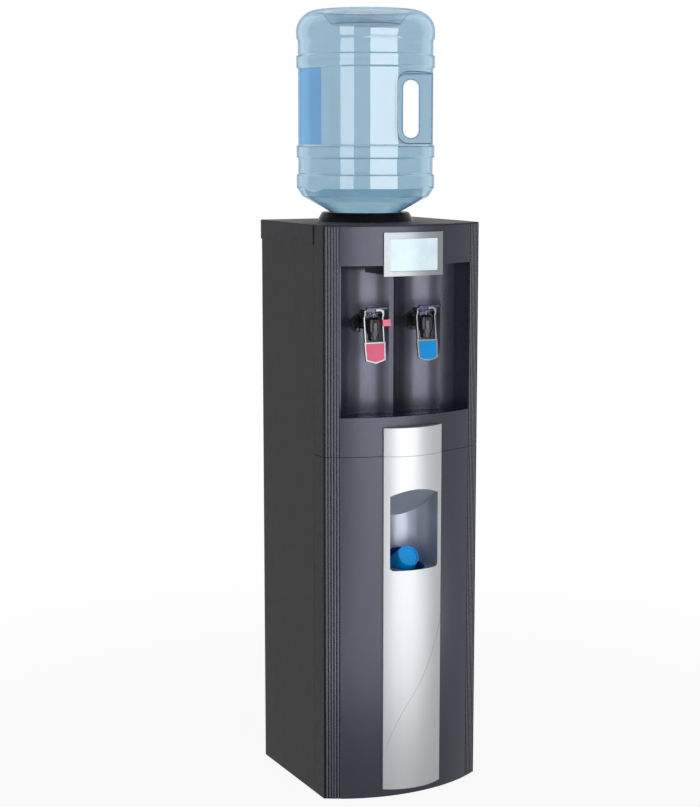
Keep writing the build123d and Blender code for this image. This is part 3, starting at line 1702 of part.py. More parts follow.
with BuildPart() as switch_housings:
    for side in (-1, 1):
        with BuildSketch(Plane.XZ.offset(-back_y)):
            with Locations((side * switch_x, switch_z)):
                Rectangle(switch_width + 2 * frame_flange, switch_height + 2 * frame_flange)
        extrude(amount=-2)
        with BuildSketch(Plane.XZ.offset(-back_y)):
            with Locations((side * switch_x, switch_z)):
                Rectangle(switch_width - fit, switch_height - fit)
        extrude(amount=housing_depth)
        with BuildSketch(Plane.XZ.offset(-back_y - 2)):
            with Locations((side * switch_x, switch_z)):
                Rectangle(2 * pocket_half_x, 2 * pocket_half_z)
        extrude(amount=12, mode=Mode.SUBTRACT)
switch_housings.part.label = "switch_housings"
export_step(switch_housings.part, "parts/switch_housings.step")

rocker_tilt = 9.0
rocker_axle = 1.5
rocker_y = back_y - 3.0
rocker_lean = math.radians(rocker_tilt)

# the rockers rest in the off position, tipped about their axles
for name, side in (("hot", -1), ("cold", 1)):
    rocker_plane = Plane(
        (side * switch_x, rocker_y, switch_z),
        x_dir=(0, math.cos(rocker_lean), -math.sin(rocker_lean)),
        z_dir=(1, 0, 0),
    )
    rocker_half = pocket_half_z - 1.5
    with BuildPart() as rocker:
        with BuildSketch(rocker_plane):
            with BuildLine():
                Polyline(
                    (5.5, -rocker_half), (3, 0), (5.5, rocker_half), (-4, 5), (-4, -5),
                    close=True,
                )
            make_face()
        extrude(amount=pocket_half_x - fit, both=True)
        with Locations((side * switch_x, rocker_y, switch_z)):
            Cylinder(rocker_axle, 2 * pocket_half_x - 0.1, rotation=(0, 90, 0))
    rocker.part.label = f"{name}_switch_rocker"
    export_step(rocker.part, f"parts/{name}_switch_rocker.step")

with BuildPart() as mains_inlet:
    with BuildSketch(Plane.XZ.offset(-back_y)):
        with Locations((inlet_x, inlet_z)):
            RectangleRounded(inlet_width + 14, inlet_height + 6, 3)
    extrude(amount=-2)
    with BuildSketch(Plane.XZ.offset(-back_y)):
        with Locations((inlet_x, inlet_z)):
            Rectangle(inlet_width - fit, inlet_height - fit)
    extrude(amount=22)
    with BuildSketch(Plane.XZ.offset(-back_y - 2)):
        with Locations((inlet_x, inlet_z)):
            Rectangle(inlet_width - 5, inlet_height - 6)
    extrude(amount=18, mode=Mode.SUBTRACT)
    pins = ((-7, -2), (7, -2), (0, 4))
    with Locations(*[(inlet_x + dx, back_y - 11, inlet_z + dz) for dx, dz in pins]):
        Box(2, 14, 4)
mains_inlet.part.label = "mains_inlet"
export_step(mains_inlet.part, "parts/mains_inlet.step")

thermostat_width = 36.0
thermostat_height = 44.0
thermostat_depth = 26.0

with BuildPart() as thermostat:
    with Locations((thermostat_x, back_y - sheet - fit - thermostat_depth / 2, thermostat_z)):
        Box(thermostat_width, thermostat_depth, thermostat_height)
    fillet(thermostat.edges().filter_by(Axis.Y), 2)
    # its spindle shows through the back panel, slotted for a screwdriver
    with BuildSketch(Plane.XZ.offset(-back_y - 5)):
        with Locations((thermostat_x, thermostat_z)):
            Circle(spindle_radius)
    extrude(amount=8)
    with Locations((thermostat_x, back_y + 5, thermostat_z)):
        Box(2 * spindle_radius + 1, 3, 1, mode=Mode.SUBTRACT)
thermostat.part.label = "thermostat"
export_step(thermostat.part, "parts/thermostat.step")

screw_radius = 3.5
screw_rows = 4
screw_margin = 26.0
screw_step = (panel_height - 2 * screw_margin) / (screw_rows - 1)
screw_spots = [
    (side * (half_width - flange_width / 2), panel_bottom + screw_margin + row * screw_step)
    for side in (-1, 1)
    for row in range(screw_rows)
]

with BuildPart() as back_screws:
    with BuildSketch(Plane.XZ.offset(-back_y)):
        with Locations(*screw_spots):
            Circle(screw_radius)
    extrude(amount=-2)
    with BuildSketch(Plane.XZ.offset(-back_y - 2)):
        with Locations(*screw_spots):
            Rectangle(4, 1)
            Rectangle(1, 4)
    extrude(amount=1, mode=Mode.SUBTRACT)
back_screws.part.label = "back_screws"
export_step(back_screws.part, "parts/back_screws.step")
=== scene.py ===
import json
import math

import bpy
from bpy.props import (
    FloatProperty,
    FloatVectorProperty,
    IntProperty,
    PointerProperty,
)
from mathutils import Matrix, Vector


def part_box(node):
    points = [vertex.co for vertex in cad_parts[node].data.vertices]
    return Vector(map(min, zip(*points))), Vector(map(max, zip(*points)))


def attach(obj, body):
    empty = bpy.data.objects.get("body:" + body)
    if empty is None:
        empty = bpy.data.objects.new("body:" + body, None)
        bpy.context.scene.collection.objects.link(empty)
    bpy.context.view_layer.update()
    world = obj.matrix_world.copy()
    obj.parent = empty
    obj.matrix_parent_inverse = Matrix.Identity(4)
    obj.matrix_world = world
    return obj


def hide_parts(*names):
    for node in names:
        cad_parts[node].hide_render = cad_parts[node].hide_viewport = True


bl_info = {
    "name": "Bottle water cooler",
    "version": (1, 0, 0),
    "blender": (4, 5, 0),
    "location": "View3D > Sidebar > Water cooler",
    "description": "Dresses the packed water cooler with its finishes, bottle, taps and studio",
    "category": "Object",
}

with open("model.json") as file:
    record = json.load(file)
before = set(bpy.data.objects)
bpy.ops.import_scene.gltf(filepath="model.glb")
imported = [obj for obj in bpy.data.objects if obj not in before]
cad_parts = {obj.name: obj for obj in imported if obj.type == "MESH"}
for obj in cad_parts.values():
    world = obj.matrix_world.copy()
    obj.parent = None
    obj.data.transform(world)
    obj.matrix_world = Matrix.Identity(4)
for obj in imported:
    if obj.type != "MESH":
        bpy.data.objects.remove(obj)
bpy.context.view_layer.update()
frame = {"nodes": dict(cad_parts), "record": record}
cad_nodes = frame["nodes"]
slot_of = {entry["node"]: entry["material_slot"] for entry in frame["record"]["subparts"]}

# datums read from the frame
deck_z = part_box("top_cover")[1].z
water_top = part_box("bottle_water")[1].z
collar_low, collar_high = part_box("bottle_collar")
bottle_x = 0.0
bottle_y = (collar_low.y + collar_high.y) / 2


# ------------------------------------------------------------------ settings
def colour(name, text, value):
    """A colour setting."""
    return FloatVectorProperty(
        name=name, description=text, subtype="COLOR", size=3, min=0.0, max=1.0, default=value
    )


def length(name, text, value):
    """A length setting, in metres."""
    return FloatProperty(name=name, description=text, default=value, unit="LENGTH", precision=5)


def angle(name, text, degrees):
    """An angle setting, its default in degrees."""
    return FloatProperty(
        name=name, description=text, default=math.radians(degrees), subtype="ANGLE"
    )


def plain_number(name, text, value):
    """A setting without a unit."""
    return FloatProperty(name=name, description=text, default=value)


class CoolerColours(bpy.types.PropertyGroup):
    steel: colour("Cabinet steel", "Powder coat of the side panels", (0.018, 0.018, 0.019))
    moulding: colour("Front mouldings", "Satin anthracite of the front", (0.006, 0.006, 0.010))
    # painted highlight: the flute lands are coloured far lighter than the moulding, standing in
    # for the bright lines the light makes on them
    painted_land_highlight: colour("Flute lands", "Raised lines between the flutes", (0.06, 0.062, 0.07))
    # painted shade: the flute beds are coloured darker than the moulding, standing in for the
    # shade in the grooves
    painted_bed_shade: colour("Flute beds", "Shaded bottoms of the flutes", (0.003, 0.003, 0.006))
    niche: colour("Niche liner", "Smooth anthracite of the tap niche", (0.014, 0.014, 0.022))
    fascia: colour("Fascia", "Silver of the crowned fascia", (0.37, 0.38, 0.395))
    badge: colour("Badge frame", "Silver frame on the header", (0.20, 0.215, 0.225))
    inlay: colour("Badge inlay", "Plain pale panel in the badge", (0.54, 0.66, 0.71))
    collar: colour("Collar", "Glossy collar under the bottle", (0.006, 0.006, 0.009))
    bottle: colour("Bottle", "Tint of the polycarbonate", (0.55, 0.685, 0.765))
    depth: colour("Bottle depth", "What a long way through the wall leaves", (0.04, 0.48, 0.72))
    # painted reflection: a pale tint where the bottle's wall slants
    slope: colour("Bottle slope", "Tint where the wall slants", (0.88, 0.95, 0.97))
    # partly the deeper tint of the long path through the wall, partly painted shade at the
    # bottle's rim
    rim_depth_and_painted_shade: colour("Bottle rim", "Deeper tint where the wall turns away", (0.16, 0.36, 0.60))
    label: colour("Bottle label", "Tint of the plain label film", (0.42, 0.69, 0.93))
    water: colour("Water", "Tint of the water", (0.95, 0.98, 0.99))
    # painted shade: a dark ring at the water's edge, standing in for the dark line that the edge
    # makes seen through the wall
    painted_waterline_shade: colour("Water line", "Edge of the water at the wall", (0.03, 0.10, 0.17))
    tap: colour("Tap bodies", "Glossy black plastic", (0.010, 0.010, 0.013))
    hot: colour("Hot insert", "Pink red of the hot paddle", (0.54, 0.10, 0.17))
    cold: colour("Cold insert", "Blue of the cold paddle", (0.0, 0.20, 0.50))
    cup: colour("Drinking cup", "Blue of the cups", (0.0, 0.27, 0.66))
    tube: colour("Cup tube", "Deep blue of the tube behind the cups", (0.02, 0.10, 0.45))
    navy: colour("Lever caps", "Navy bar over the taps", (0.020, 0.026, 0.075))
    recess: colour("Cup recess", "Silver grey of the cup recess", (0.25, 0.275, 0.325))
    cap: colour("Bottle cap", "White cap of the bottle", (0.72, 0.75, 0.78))
    chrome: colour("Lever plating", "Bright plating of the levers", (0.19, 0.195, 0.21))
    stem: colour("Tap stems", "Acetal of the tap stems", (0.10, 0.13, 0.30))
    spring: colour("Springs", "Drawn wire of the springs", (0.45, 0.46, 0.48))
    tray: colour("Drip tray", "Black plastic of the tray", (0.015, 0.017, 0.024))
    grille: colour("Drip grille", "Dark gloss of the grille", (0.016, 0.026, 0.075))
    grey: colour("Grey plastic", "Plain grey plastic round the cups", (0.14, 0.15, 0.17))
    stainless: colour("Tanks", "Stainless steel of the tanks", (0.55, 0.56, 0.57))
    foam: colour("Insulation", "Foam round the cold tank", (0.80, 0.80, 0.77))
    copper: colour("Copper", "Copper of the cooling circuit", (0.72, 0.36, 0.22))
    hose: colour("Hoses", "Silicone of the water hoses", (0.62, 0.62, 0.58))
    zinc: colour("Galvanised sheet", "Zinc coat of the back and base", (0.46, 0.48, 0.50))
    enamel: colour("Compressor", "Black enamel of the compressor", (0.013, 0.013, 0.014))
    lacquer: colour("Condenser", "Black lacquer of the condenser", (0.014, 0.014, 0.015))
    rubber: colour("Rubber", "Black rubber of feet and mounts", (0.017, 0.017, 0.018))
    switch: colour("Switch housings", "Black plastic at the back", (0.016, 0.016, 0.018))
    rocker_red: colour("Red rocker", "Switch of the hot tank", (0.55, 0.02, 0.02))
    rocker_green: colour("Green rocker", "Switch of the cold tank", (0.02, 0.30, 0.07))
    screw: colour("Screws", "Zinc plate of the screws", (0.52, 0.52, 0.48))


class CoolerSizes(bpy.types.PropertyGroup):
    edge: length("Moulding edge", "Rounding of moulded edges", 0.0009)
    fine_edge: length("Fine edge", "Rounding of small parts", 0.0004)
    crease: angle("Crease", "Moulded edges that turn by more than this stay sharp", 30.0)
    pipe_crease: angle("Pipe crease", "The same on pipes and tanks", 32.0)
    bottle_crease: angle("Bottle crease", "The same on the bottle and its collar", 28.0)
    cup_crease: angle("Cup crease", "The same on cups and thin wrapped parts", 40.0)
    flute_margin: length("Flute margin", "From the panel's edge to the first flute", 0.0028)
    flute_pitch: length("Flute pitch", "From one flute to the next", 0.0048)
    # the painted shade of the flute beds spans the flute shade, and the corner shade along the
    # panel's edge
    flute_shade: length("Flute shade", "Half width of the shaded bed of a flute", 0.00115)
    corner_shade: length("Corner shade", "Width of the shaded strip at the corner", 0.0013)
    flute_count: IntProperty(
        name="Flutes", description="Flutes on each front corner", default=6, min=1
    )
    water_radius: length("Water radius", "Radius of the water's edge", 0.1296)
    meniscus: length("Meniscus", "Half height of the water's edge", 0.0006)
    label_radius: length("Label radius", "Radius of the barrel under the label film", 0.13255)
    label_low: length("Label foot", "Lower edge of the label film", 0.1488)
    label_high: length("Label head", "Upper edge of the label film", 0.2938)
    label_film: length("Label film", "Thickness of the label film", 0.00012)
    label_from: angle("Label start", "Where the label starts, clockwise from the front", 66.8)
    label_to: angle("Label end", "Where the label ends, clockwise from the front", 101.0)
    ring_crease: angle("Ring crease", "The same on the water's edge", 60.0)
    label_sides: IntProperty(
        name="Label sides", description="Faces round the whole barrel", default=360, min=36
    )
    ring_sides: IntProperty(
        name="Ring sides", description="Faces round the water's edge", default=192, min=24
    )


class CoolerStudio(bpy.types.PropertyGroup):
    lens: plain_number("Lens", "Focal length in mm on a 36 mm sensor", 78.42)
    azimuth: angle("Azimuth", "Angle of the camera round the cooler", -26.549)
    elevation: angle("Elevation", "Angle of the camera above the horizon", 8.450)
    station: FloatVectorProperty(
        name="Camera station", description="Where the camera stands", size=3,
        default=(-1.5882, -3.0731, 1.2705), subtype="TRANSLATION",
    )
    floor: colour("Floor", "Pale studio floor", (0.55, 0.55, 0.55))
    floor_radius: length("Floor radius", "How far the floor reaches", 9.0)
    floor_middle: length("Floor middle", "Radius of the floor's middle disc", 2.0)
    floor_drop: length("Floor drop", "How far the floor lies below the feet", 0.0002)
    ambient: plain_number("Ambient", "Soft light from all round", 0.08)
    front_box: plain_number("Front softbox", "Watts of the wide softbox", 52.0)
    side_strip: plain_number("Side strip", "Watts of the tall strip", 19.0)
    floor_card: plain_number("Floor card", "Watts of the low card", 34.0)
    overhead: plain_number("Overhead", "Watts of the overhead softbox", 10.0)


# ------------------------------------------------------------------ hand tools
merge_distance = 0.000002
flat_angle = math.radians(0.4)
bevel_limit = math.radians(38.0)
bevel_segments = 2


def pick(piece):
    """Select this object only and make it active."""
    bpy.ops.object.select_all(action="DESELECT")
    piece.select_set(True)
    bpy.context.view_layer.objects.active = piece


def editing(piece):
    """Open a piece's mesh with all of it selected."""
    pick(piece)
    bpy.ops.object.mode_set(mode="EDIT")
    bpy.ops.mesh.select_all(action="SELECT")


def done_editing():
    """Close the mesh that is open."""
    bpy.ops.object.mode_set(mode="OBJECT")


def finish_modifier(piece, kind, **values):
    """Add a modifier to a piece, set it and apply it."""
    modifier = piece.modifiers.new(kind.title(), kind)
    for key, value in values.items():
        setattr(modifier, key, value)
    pick(piece)
    bpy.ops.object.modifier_apply(modifier=modifier.name)


def smooth(piece, crease):
    """Shade a piece smooth, but for the edges that turn by more than the crease."""
    pick(piece)
    bpy.ops.object.shade_smooth_by_angle(angle=crease)


def settle(piece):
    """Put the piece's place, turn and scale in its mesh."""
    pick(piece)
    bpy.ops.object.transform_apply(location=True, rotation=True, scale=True)


def named(piece, name):
    """Name a piece and its mesh."""
    piece.name = name
    piece.data.name = name
    return piece


def dressed(node, crease, rounding=0.0):
    """A merged copy of a CAD node, its sharp edges rounded when a rounding is given, shown in the
    node's place.
    """
    source = cad_nodes[node]
    piece = source.copy()
    piece.data = source.data.copy()
    for key in list(piece.keys()):
        del piece[key]
    bpy.context.scene.collection.objects.link(piece)
    piece.parent = None
    named(piece, f"{node}_dressed")
    editing(piece)
    bpy.ops.mesh.customdata_custom_splitnormals_clear()
    bpy.ops.mesh.remove_doubles(threshold=merge_distance)
    bpy.ops.mesh.dissolve_limited(angle_limit=flat_angle)
    done_editing()
    if rounding:
        finish_modifier(
            piece, "BEVEL", width=rounding, segments=bevel_segments,
            limit_method="ANGLE", angle_limit=bevel_limit, use_clamp_overlap=True,
        )
    smooth(piece, crease)
    finish_modifier(piece, "WEIGHTED_NORMAL", keep_sharp=True)
    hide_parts(node)
    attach(piece, body_holding(node))
    return piece


def body_holding(node):
    """The moving body that a CAD node belongs to."""
    for body, members in frame["record"]["behaviour"]["bodies"].items():
        if node in members:
            return body
    raise RuntimeError(f"no body holds {node}")


def wear(piece, material):
    """Give a piece this one material."""
    piece.data.materials.clear()
    piece.data.materials.append(material)


# ------------------------------------------------------------------ finishes
class Finish:
    """A procedural material, read in Object coordinates."""

    def __init__(self, name, **sockets):
        self.material = bpy.data.materials.new(name)
        self.material.use_nodes = True
        self.tree = self.material.node_tree
        self.tree.nodes.clear()
        self.output = self.tree.nodes.new("ShaderNodeOutputMaterial")
        self.shader = self.tree.nodes.new("ShaderNodeBsdfPrincipled")
        self.tree.links.new(self.shader.outputs[0], self.output.inputs[0])
        self.place = self.tree.nodes.new("ShaderNodeTexCoord")
        for key, value in sockets.items():
            self.shader.inputs[key.replace("_", " ")].default_value = value
        self.heights = []

    def add(self, kind, **values):
        """Add a node and set its sockets or settings by name."""
        node = self.tree.nodes.new(kind)
        for key, value in values.items():
            socket = key.replace("_", " ")
            if socket in node.inputs:
                node.inputs[socket].default_value = value
            else:
                setattr(node, key, value)
        return node

    def link(self, source, target):
        """Feed one socket into another."""
        self.tree.links.new(source, target)

    def stretched(self, stretch):
        """Object coordinates, stretched along each axis."""
        mapping = self.add("ShaderNodeMapping", Scale=stretch)
        self.link(self.place.outputs["Object"], mapping.inputs["Vector"])
        return mapping.outputs["Vector"]

    def noise(self, scale, stretch=(1, 1, 1), detail=3.0):
        """Noise with this many features to the metre."""
        texture = self.add("ShaderNodeTexNoise", Scale=scale, Detail=detail, Roughness=0.5)
        self.link(self.stretched(stretch), texture.inputs["Vector"])
        return texture.outputs["Fac"]

    def cells(self, scale, feature="F1"):
        """Cells, this many to the metre."""
        texture = self.add("ShaderNodeTexVoronoi", Scale=scale)
        texture.feature = feature
        self.link(self.stretched((1, 1, 1)), texture.inputs["Vector"])
        return texture.outputs["Distance"]

    def span(self, source, low, high, from_low=0.3, from_high=0.7):
        """Map a pattern to a range of values."""
        spread = self.add("ShaderNodeMapRange")
        spread.inputs["From Min"].default_value = from_low
        spread.inputs["From Max"].default_value = from_high
        spread.inputs["To Min"].default_value = low
        spread.inputs["To Max"].default_value = high
        self.link(source, spread.inputs["Value"])
        return spread.outputs["Result"]

    def shades(self, source, low, high, low_at=0.35, high_at=0.65):
        """Colour the surface between two shades by a pattern."""
        ramp = self.add("ShaderNodeValToRGB")
        ramp.color_ramp.elements[0].position = low_at
        ramp.color_ramp.elements[1].position = high_at
        ramp.color_ramp.elements[0].color = (*low, 1.0)
        ramp.color_ramp.elements[1].color = (*high, 1.0)
        self.link(source, ramp.inputs["Fac"])
        self.link(ramp.outputs["Color"], self.shader.inputs["Base Color"])
        return ramp

    def roughness(self, source, low, high):
        """Vary the roughness by a pattern, from low to high."""
        self.link(self.span(source, low, high), self.shader.inputs["Roughness"])

    def bump(self, source, distance, strength=1.0):
        """Raise the surface by a pattern, over the bumps already there."""
        bump = self.add("ShaderNodeBump", Strength=strength, Distance=distance)
        self.link(source, bump.inputs["Height"])
        if self.heights:
            self.link(self.heights[-1].outputs["Normal"], bump.inputs["Normal"])
        self.heights.append(bump)
        self.link(bump.outputs["Normal"], self.shader.inputs["Normal"])


def shade(value, factor):
    """A colour made lighter or darker."""
    return tuple(min(1.0, channel * factor) for channel in value)


def powder_coat(name, tint, rough):
    """Baked powder on steel: orange peel, faint drift of the shade."""
    finish = Finish(name, Specular_IOR_Level=0.19)
    finish.shades(finish.noise(5.0), shade(tint, 0.98), shade(tint, 1.02))
    finish.roughness(finish.noise(38.0), *rough)
    finish.bump(finish.noise(420.0, detail=4.0), distance=0.00010, strength=0.30)
    finish.bump(finish.noise(1700.0, detail=2.0), distance=0.00003, strength=0.30)
    return finish.material


cool_gloss = (0.78, 0.79, 1.0, 1.0)


def satin_moulding(name, tint, rough, grain=1500.0, depth=0.00004, specular=0.5):
    """Moulded plastic with a fine spark-eroded grain and a cool sheen."""
    finish = Finish(name, Specular_IOR_Level=specular, Specular_Tint=cool_gloss)
    finish.shades(finish.noise(7.0), shade(tint, 0.95), shade(tint, 1.06))
    finish.roughness(finish.noise(60.0), *rough)
    finish.bump(finish.cells(grain), distance=depth, strength=0.06)
    finish.bump(finish.noise(14.0, detail=1.0), distance=0.0003, strength=0.06)
    return finish.material


def gloss_plastic(name, tint, rough, specular=0.5, ior=1.5):
    """Polished plastic: a faint wave from the mould and hairline scratches."""
    finish = Finish(name, IOR=ior, Specular_IOR_Level=specular)
    finish.shades(finish.noise(24.0), shade(tint, 0.93), shade(tint, 1.05))
    finish.roughness(finish.noise(170.0, detail=5.0), rough * 0.8, rough * 1.4)
    finish.bump(finish.noise(55.0, detail=1.0), distance=0.0003, strength=0.12)
    finish.bump(finish.noise(260.0, stretch=(6.0, 1.0, 0.4)), distance=0.00001, strength=0.25)
    return finish.material


def drawn_metal(name, tint, rough, stretch=(1, 1, 1)):
    """Bare metal with a fine grain, drawn out along an axis where it is stretched."""
    finish = Finish(name, Metallic=1.0)
    line = finish.noise(1500.0, stretch=stretch, detail=4.0)
    finish.shades(line, shade(tint, 0.91), shade(tint, 1.07))
    finish.roughness(line, *rough)
    finish.bump(line, distance=0.00002, strength=0.35)
    return finish.material


def silver_paint(name, tint, rough, metal):
    """Silver lacquer on plastic, with a fine flake."""
    finish = Finish(name, Metallic=metal)
    flake = finish.cells(2600.0)
    finish.shades(flake, shade(tint, 0.97), shade(tint, 1.03), low_at=0.1, high_at=0.7)
    finish.roughness(finish.noise(80.0), *rough)
    finish.bump(flake, distance=0.000012, strength=0.2)
    return finish.material


def plated(name, tint):
    """Bright plating over moulded plastic: near mirror, with a soft wave."""
    finish = Finish(name, Metallic=1.0)
    finish.shades(finish.noise(90.0), shade(tint, 0.95), shade(tint, 1.05))
    finish.roughness(finish.noise(240.0, detail=4.0), 0.10, 0.20)
    finish.bump(finish.noise(120.0, detail=1.0), distance=0.0002, strength=0.18)
    return finish.material


def galvanised(name, tint):
    """Zinc coated sheet with its spangle."""
    finish = Finish(name, Metallic=0.85)
    spangle = finish.cells(170.0, feature="SMOOTH_F1")
    finish.shades(spangle, shade(tint, 0.88), shade(tint, 1.10), low_at=0.1, high_at=0.8)
    finish.roughness(finish.noise(140.0), 0.34, 0.55)
    finish.bump(spangle, distance=0.00004, strength=0.35)
    return finish.material


def rubbery(name, tint, rough):
    """Rubber or silicone with a dull, uneven skin."""
    finish = Finish(name, Specular_IOR_Level=0.35)
    finish.shades(finish.noise(60.0), shade(tint, 0.85), shade(tint, 1.2))
    finish.roughness(finish.noise(110.0), rough * 0.9, min(1.0, rough * 1.15))
    finish.bump(finish.noise(900.0, detail=3.0), distance=0.00008, strength=0.5)
    return finish.material


def foam(name, tint):
    """Moulded foam with its pressed beads."""
    finish = Finish(name, Roughness=0.9, Specular_IOR_Level=0.25)
    bead = finish.cells(260.0)
    finish.shades(bead, shade(tint, 0.88), tint, low_at=0.0, high_at=0.6)
    finish.roughness(finish.noise(90.0), 0.82, 0.95)
    finish.bump(bead, distance=0.0004, strength=0.6)
    return finish.material


def drawn_copper(name, tint):
    """Copper tube, tarnished in patches."""
    finish = Finish(name, Metallic=1.0)
    finish.shades(finish.noise(45.0), shade(tint, 0.72), shade(tint, 1.05))
    finish.roughness(finish.noise(160.0), 0.22, 0.42)
    finish.bump(finish.noise(700.0), distance=0.00003, strength=0.3)
    return finish.material


def clear_plastic(name, tint, rough, ior, coat=0.0, wave=0.0006):
    """Clear tinted plastic or water, with a slow wave and a gloss that fades to its edge."""
    gloss_from, gloss_to = 0.35, 0.78
    finish = Finish(name, IOR=ior, Transmission_Weight=1.0, Coat_IOR=1.8, Coat_Roughness=0.05)
    finish.shades(finish.noise(9.0, detail=1.0), shade(tint, 0.97), shade(tint, 1.03))
    finish.roughness(finish.noise(30.0), rough * 0.8, rough * 1.3)
    slow_wave = finish.noise(18.0, stretch=(1.0, 1.0, 0.35), detail=1.0)
    finish.bump(slow_wave, distance=wave, strength=0.25)
    finish.turned = finish.add("ShaderNodeLayerWeight", Blend=0.5).outputs["Facing"]
    gloss = finish.span(finish.turned, coat, 0.0, gloss_from, gloss_to)
    finish.link(gloss, finish.shader.inputs["Coat Weight"])
    return finish


def bottle_wall(name, tint):
    """Polycarbonate that deepens where light goes a long way through it, with painted reflection
    and shade.
    """
    # how far the wall turns away: nought faces the eye and one is edge on
    flat_to, painted_reflection_from, painted_reflection_to, rim_from = 0.40, 0.51, 0.69, 0.83
    uneven = 0.012
    finish = clear_plastic(name, tint.bottle, rough=0.05, ior=1.13, coat=1.0)
    drift = finish.span(finish.noise(9.0, detail=1.0), -uneven, uneven)
    slant = finish.add("ShaderNodeMath", operation="ADD")
    finish.link(finish.turned, slant.inputs[0])
    finish.link(drift, slant.inputs[1])
    # painted reflection: pale where the wall slants; at the rim a deeper tint, partly the long
    # path and partly painted shade
    ramp = finish.shades(
        slant.outputs[0], tint.bottle, tint.rim_depth_and_painted_shade, low_at=flat_to, high_at=rim_from
    )
    for position in (painted_reflection_from, painted_reflection_to):
        ramp.color_ramp.elements.new(position).color = (*tint.slope, 1.0)
    through = finish.add("ShaderNodeVolumeAbsorption", Density=60.0)
    through.inputs["Color"].default_value = (*tint.depth, 1.0)
    finish.link(through.outputs[0], finish.output.inputs["Volume"])
    return finish.material


def make_finishes():
    """One material for each slot of the record."""
    tint = bpy.context.scene.cooler_colours
    made = {
        "cabinet_steel": powder_coat("cabinet_powder_coat", tint.steel, (0.50, 0.53)),
        "front_moulding": satin_moulding(
            "front_satin_plastic", tint.moulding, (0.30, 0.35), specular=0.6
        ),
        "niche_moulding": satin_moulding(
            "niche_smooth_plastic", tint.niche, (0.27, 0.32),
            grain=2200.0, depth=0.00002, specular=0.8,
        ),
        "silver_fascia": silver_paint("fascia_silver", tint.fascia, (0.38, 0.43), metal=0.60),
        "badge_silver": silver_paint("badge_silver", tint.badge, (0.28, 0.34), metal=0.70),
        "recess_silver": silver_paint("recess_silver", tint.recess, (0.30, 0.36), metal=0.50),
        "badge_inlay": gloss_plastic("badge_inlay_plain", tint.inlay, 0.2, specular=0.35),
        "collar_black": gloss_plastic("collar_gloss_black", tint.collar, 0.2, ior=1.13),
        "bottle_plastic": bottle_wall("bottle_polycarbonate", tint),
        "cap_white": satin_moulding("cap_white_plastic", tint.cap, (0.4, 0.5)),
        "water": clear_plastic(
            "drinking_water", tint.water, rough=0.01, ior=1.04, wave=0.0001
        ).material,
        "tap_black": gloss_plastic("tap_gloss_black", tint.tap, 0.10, specular=0.4),
        "lever_chrome": plated("lever_chrome", tint.chrome),
        "hot_red": gloss_plastic("hot_insert_plastic", tint.hot, 0.34, specular=0.14),
        "cold_blue": gloss_plastic("cold_insert_plastic", tint.cold, 0.34, specular=0.14),
        "catch_red": gloss_plastic("catch_red_plastic", shade(tint.hot, 1.2), 0.3, specular=0.3),
        "stem_grey": gloss_plastic("stem_acetal", tint.stem, 0.3),
        "cap_navy": gloss_plastic("lever_cap_navy_plastic", tint.navy, 0.14),
        "tray_black": satin_moulding("tray_black_plastic", tint.tray, (0.34, 0.46)),
        "grille_dark": gloss_plastic("grille_dark_plastic", tint.grille, 0.16),
        "tube_blue": gloss_plastic("tube_deep_blue_plastic", tint.tube, 0.16),
        "tube_grey": satin_moulding("tube_grey_plastic", tint.grey, (0.35, 0.5)),
        "cup_blue": gloss_plastic("cup_blue_plastic", tint.cup, 0.16, specular=0.3),
        "stainless": drawn_metal(
            "tank_stainless", tint.stainless, (0.22, 0.38), stretch=(1, 1, 0.02)
        ),
        "spring_steel": drawn_metal("spring_wire", tint.spring, (0.25, 0.4)),
        "screw_zinc": drawn_metal("screw_zinc", tint.screw, (0.25, 0.4)),
        "foam": foam("insulation_foam", tint.foam),
        "copper": drawn_copper("copper_tube", tint.copper),
        "silicone": rubbery("silicone_hose", tint.hose, 0.45),
        "rubber_black": rubbery("foot_rubber", tint.rubber, 0.75),
        "galvanised": galvanised("galvanised_sheet", tint.zinc),
        "compressor_black": powder_coat("compressor_enamel", tint.enamel, (0.22, 0.34)),
        "condenser_black": powder_coat("condenser_lacquer", tint.lacquer, (0.35, 0.5)),
        "switch_black": satin_moulding("switch_black_plastic", tint.switch, (0.32, 0.44)),
        "rocker_red": gloss_plastic("rocker_red_plastic", tint.rocker_red, 0.2),
        "rocker_green": gloss_plastic("rocker_green_plastic", tint.rocker_green, 0.2),
    }
    missing = sorted(set(slot_of.values()) - set(made))
    if missing:
        raise RuntimeError(f"no finish is made for the slots {missing}")
    return made


class COOLER_OT_finishes(bpy.types.Operator):
    """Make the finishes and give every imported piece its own"""

    bl_idname = "cooler.finishes"
    bl_label = "Finishes"

    def execute(self, context):
        finishes = make_finishes()
        for node, piece in cad_nodes.items():
            wear(piece, finishes[slot_of[node]])
        return {"FINISHED"}


# ------------------------------------------------------------------ studio
def area_lamp(name, place, aim, size, watts):
    """A soft box that the camera doesn't see."""
    bpy.ops.object.light_add(type="AREA", location=place)
    lamp = bpy.context.object
    lamp.name = name
    lamp.data.shape = "RECTANGLE"
    lamp.data.size, lamp.data.size_y = size
    lamp.data.energy = watts
    lamp.rotation_euler = (Vector(aim) - Vector(place)).to_track_quat("-Z", "Y").to_euler()
    lamp.visible_camera = False
    lamp.visible_transmission = False


class COOLER_OT_camera(bpy.types.Operator):
    """Stand the camera where the photograph was taken from"""

    bl_idname = "cooler.camera"
    bl_label = "Camera"

    def execute(self, context):
        studio = context.scene.cooler_studio
        turn, rise = studio.azimuth, studio.elevation
        back = Vector((
            math.sin(turn) * math.cos(rise), -math.cos(turn) * math.cos(rise), math.sin(rise)
        ))
        bpy.ops.object.camera_add(location=studio.station)
        camera = context.object
        camera.rotation_euler = (-back).to_track_quat("-Z", "Y").to_euler()
        camera.data.sensor_fit = "VERTICAL"
        camera.data.sensor_height = 36.0
        camera.data.lens = studio.lens
        camera.data.clip_end = 50.0
        context.scene.camera = camera
        return {"FINISHED"}


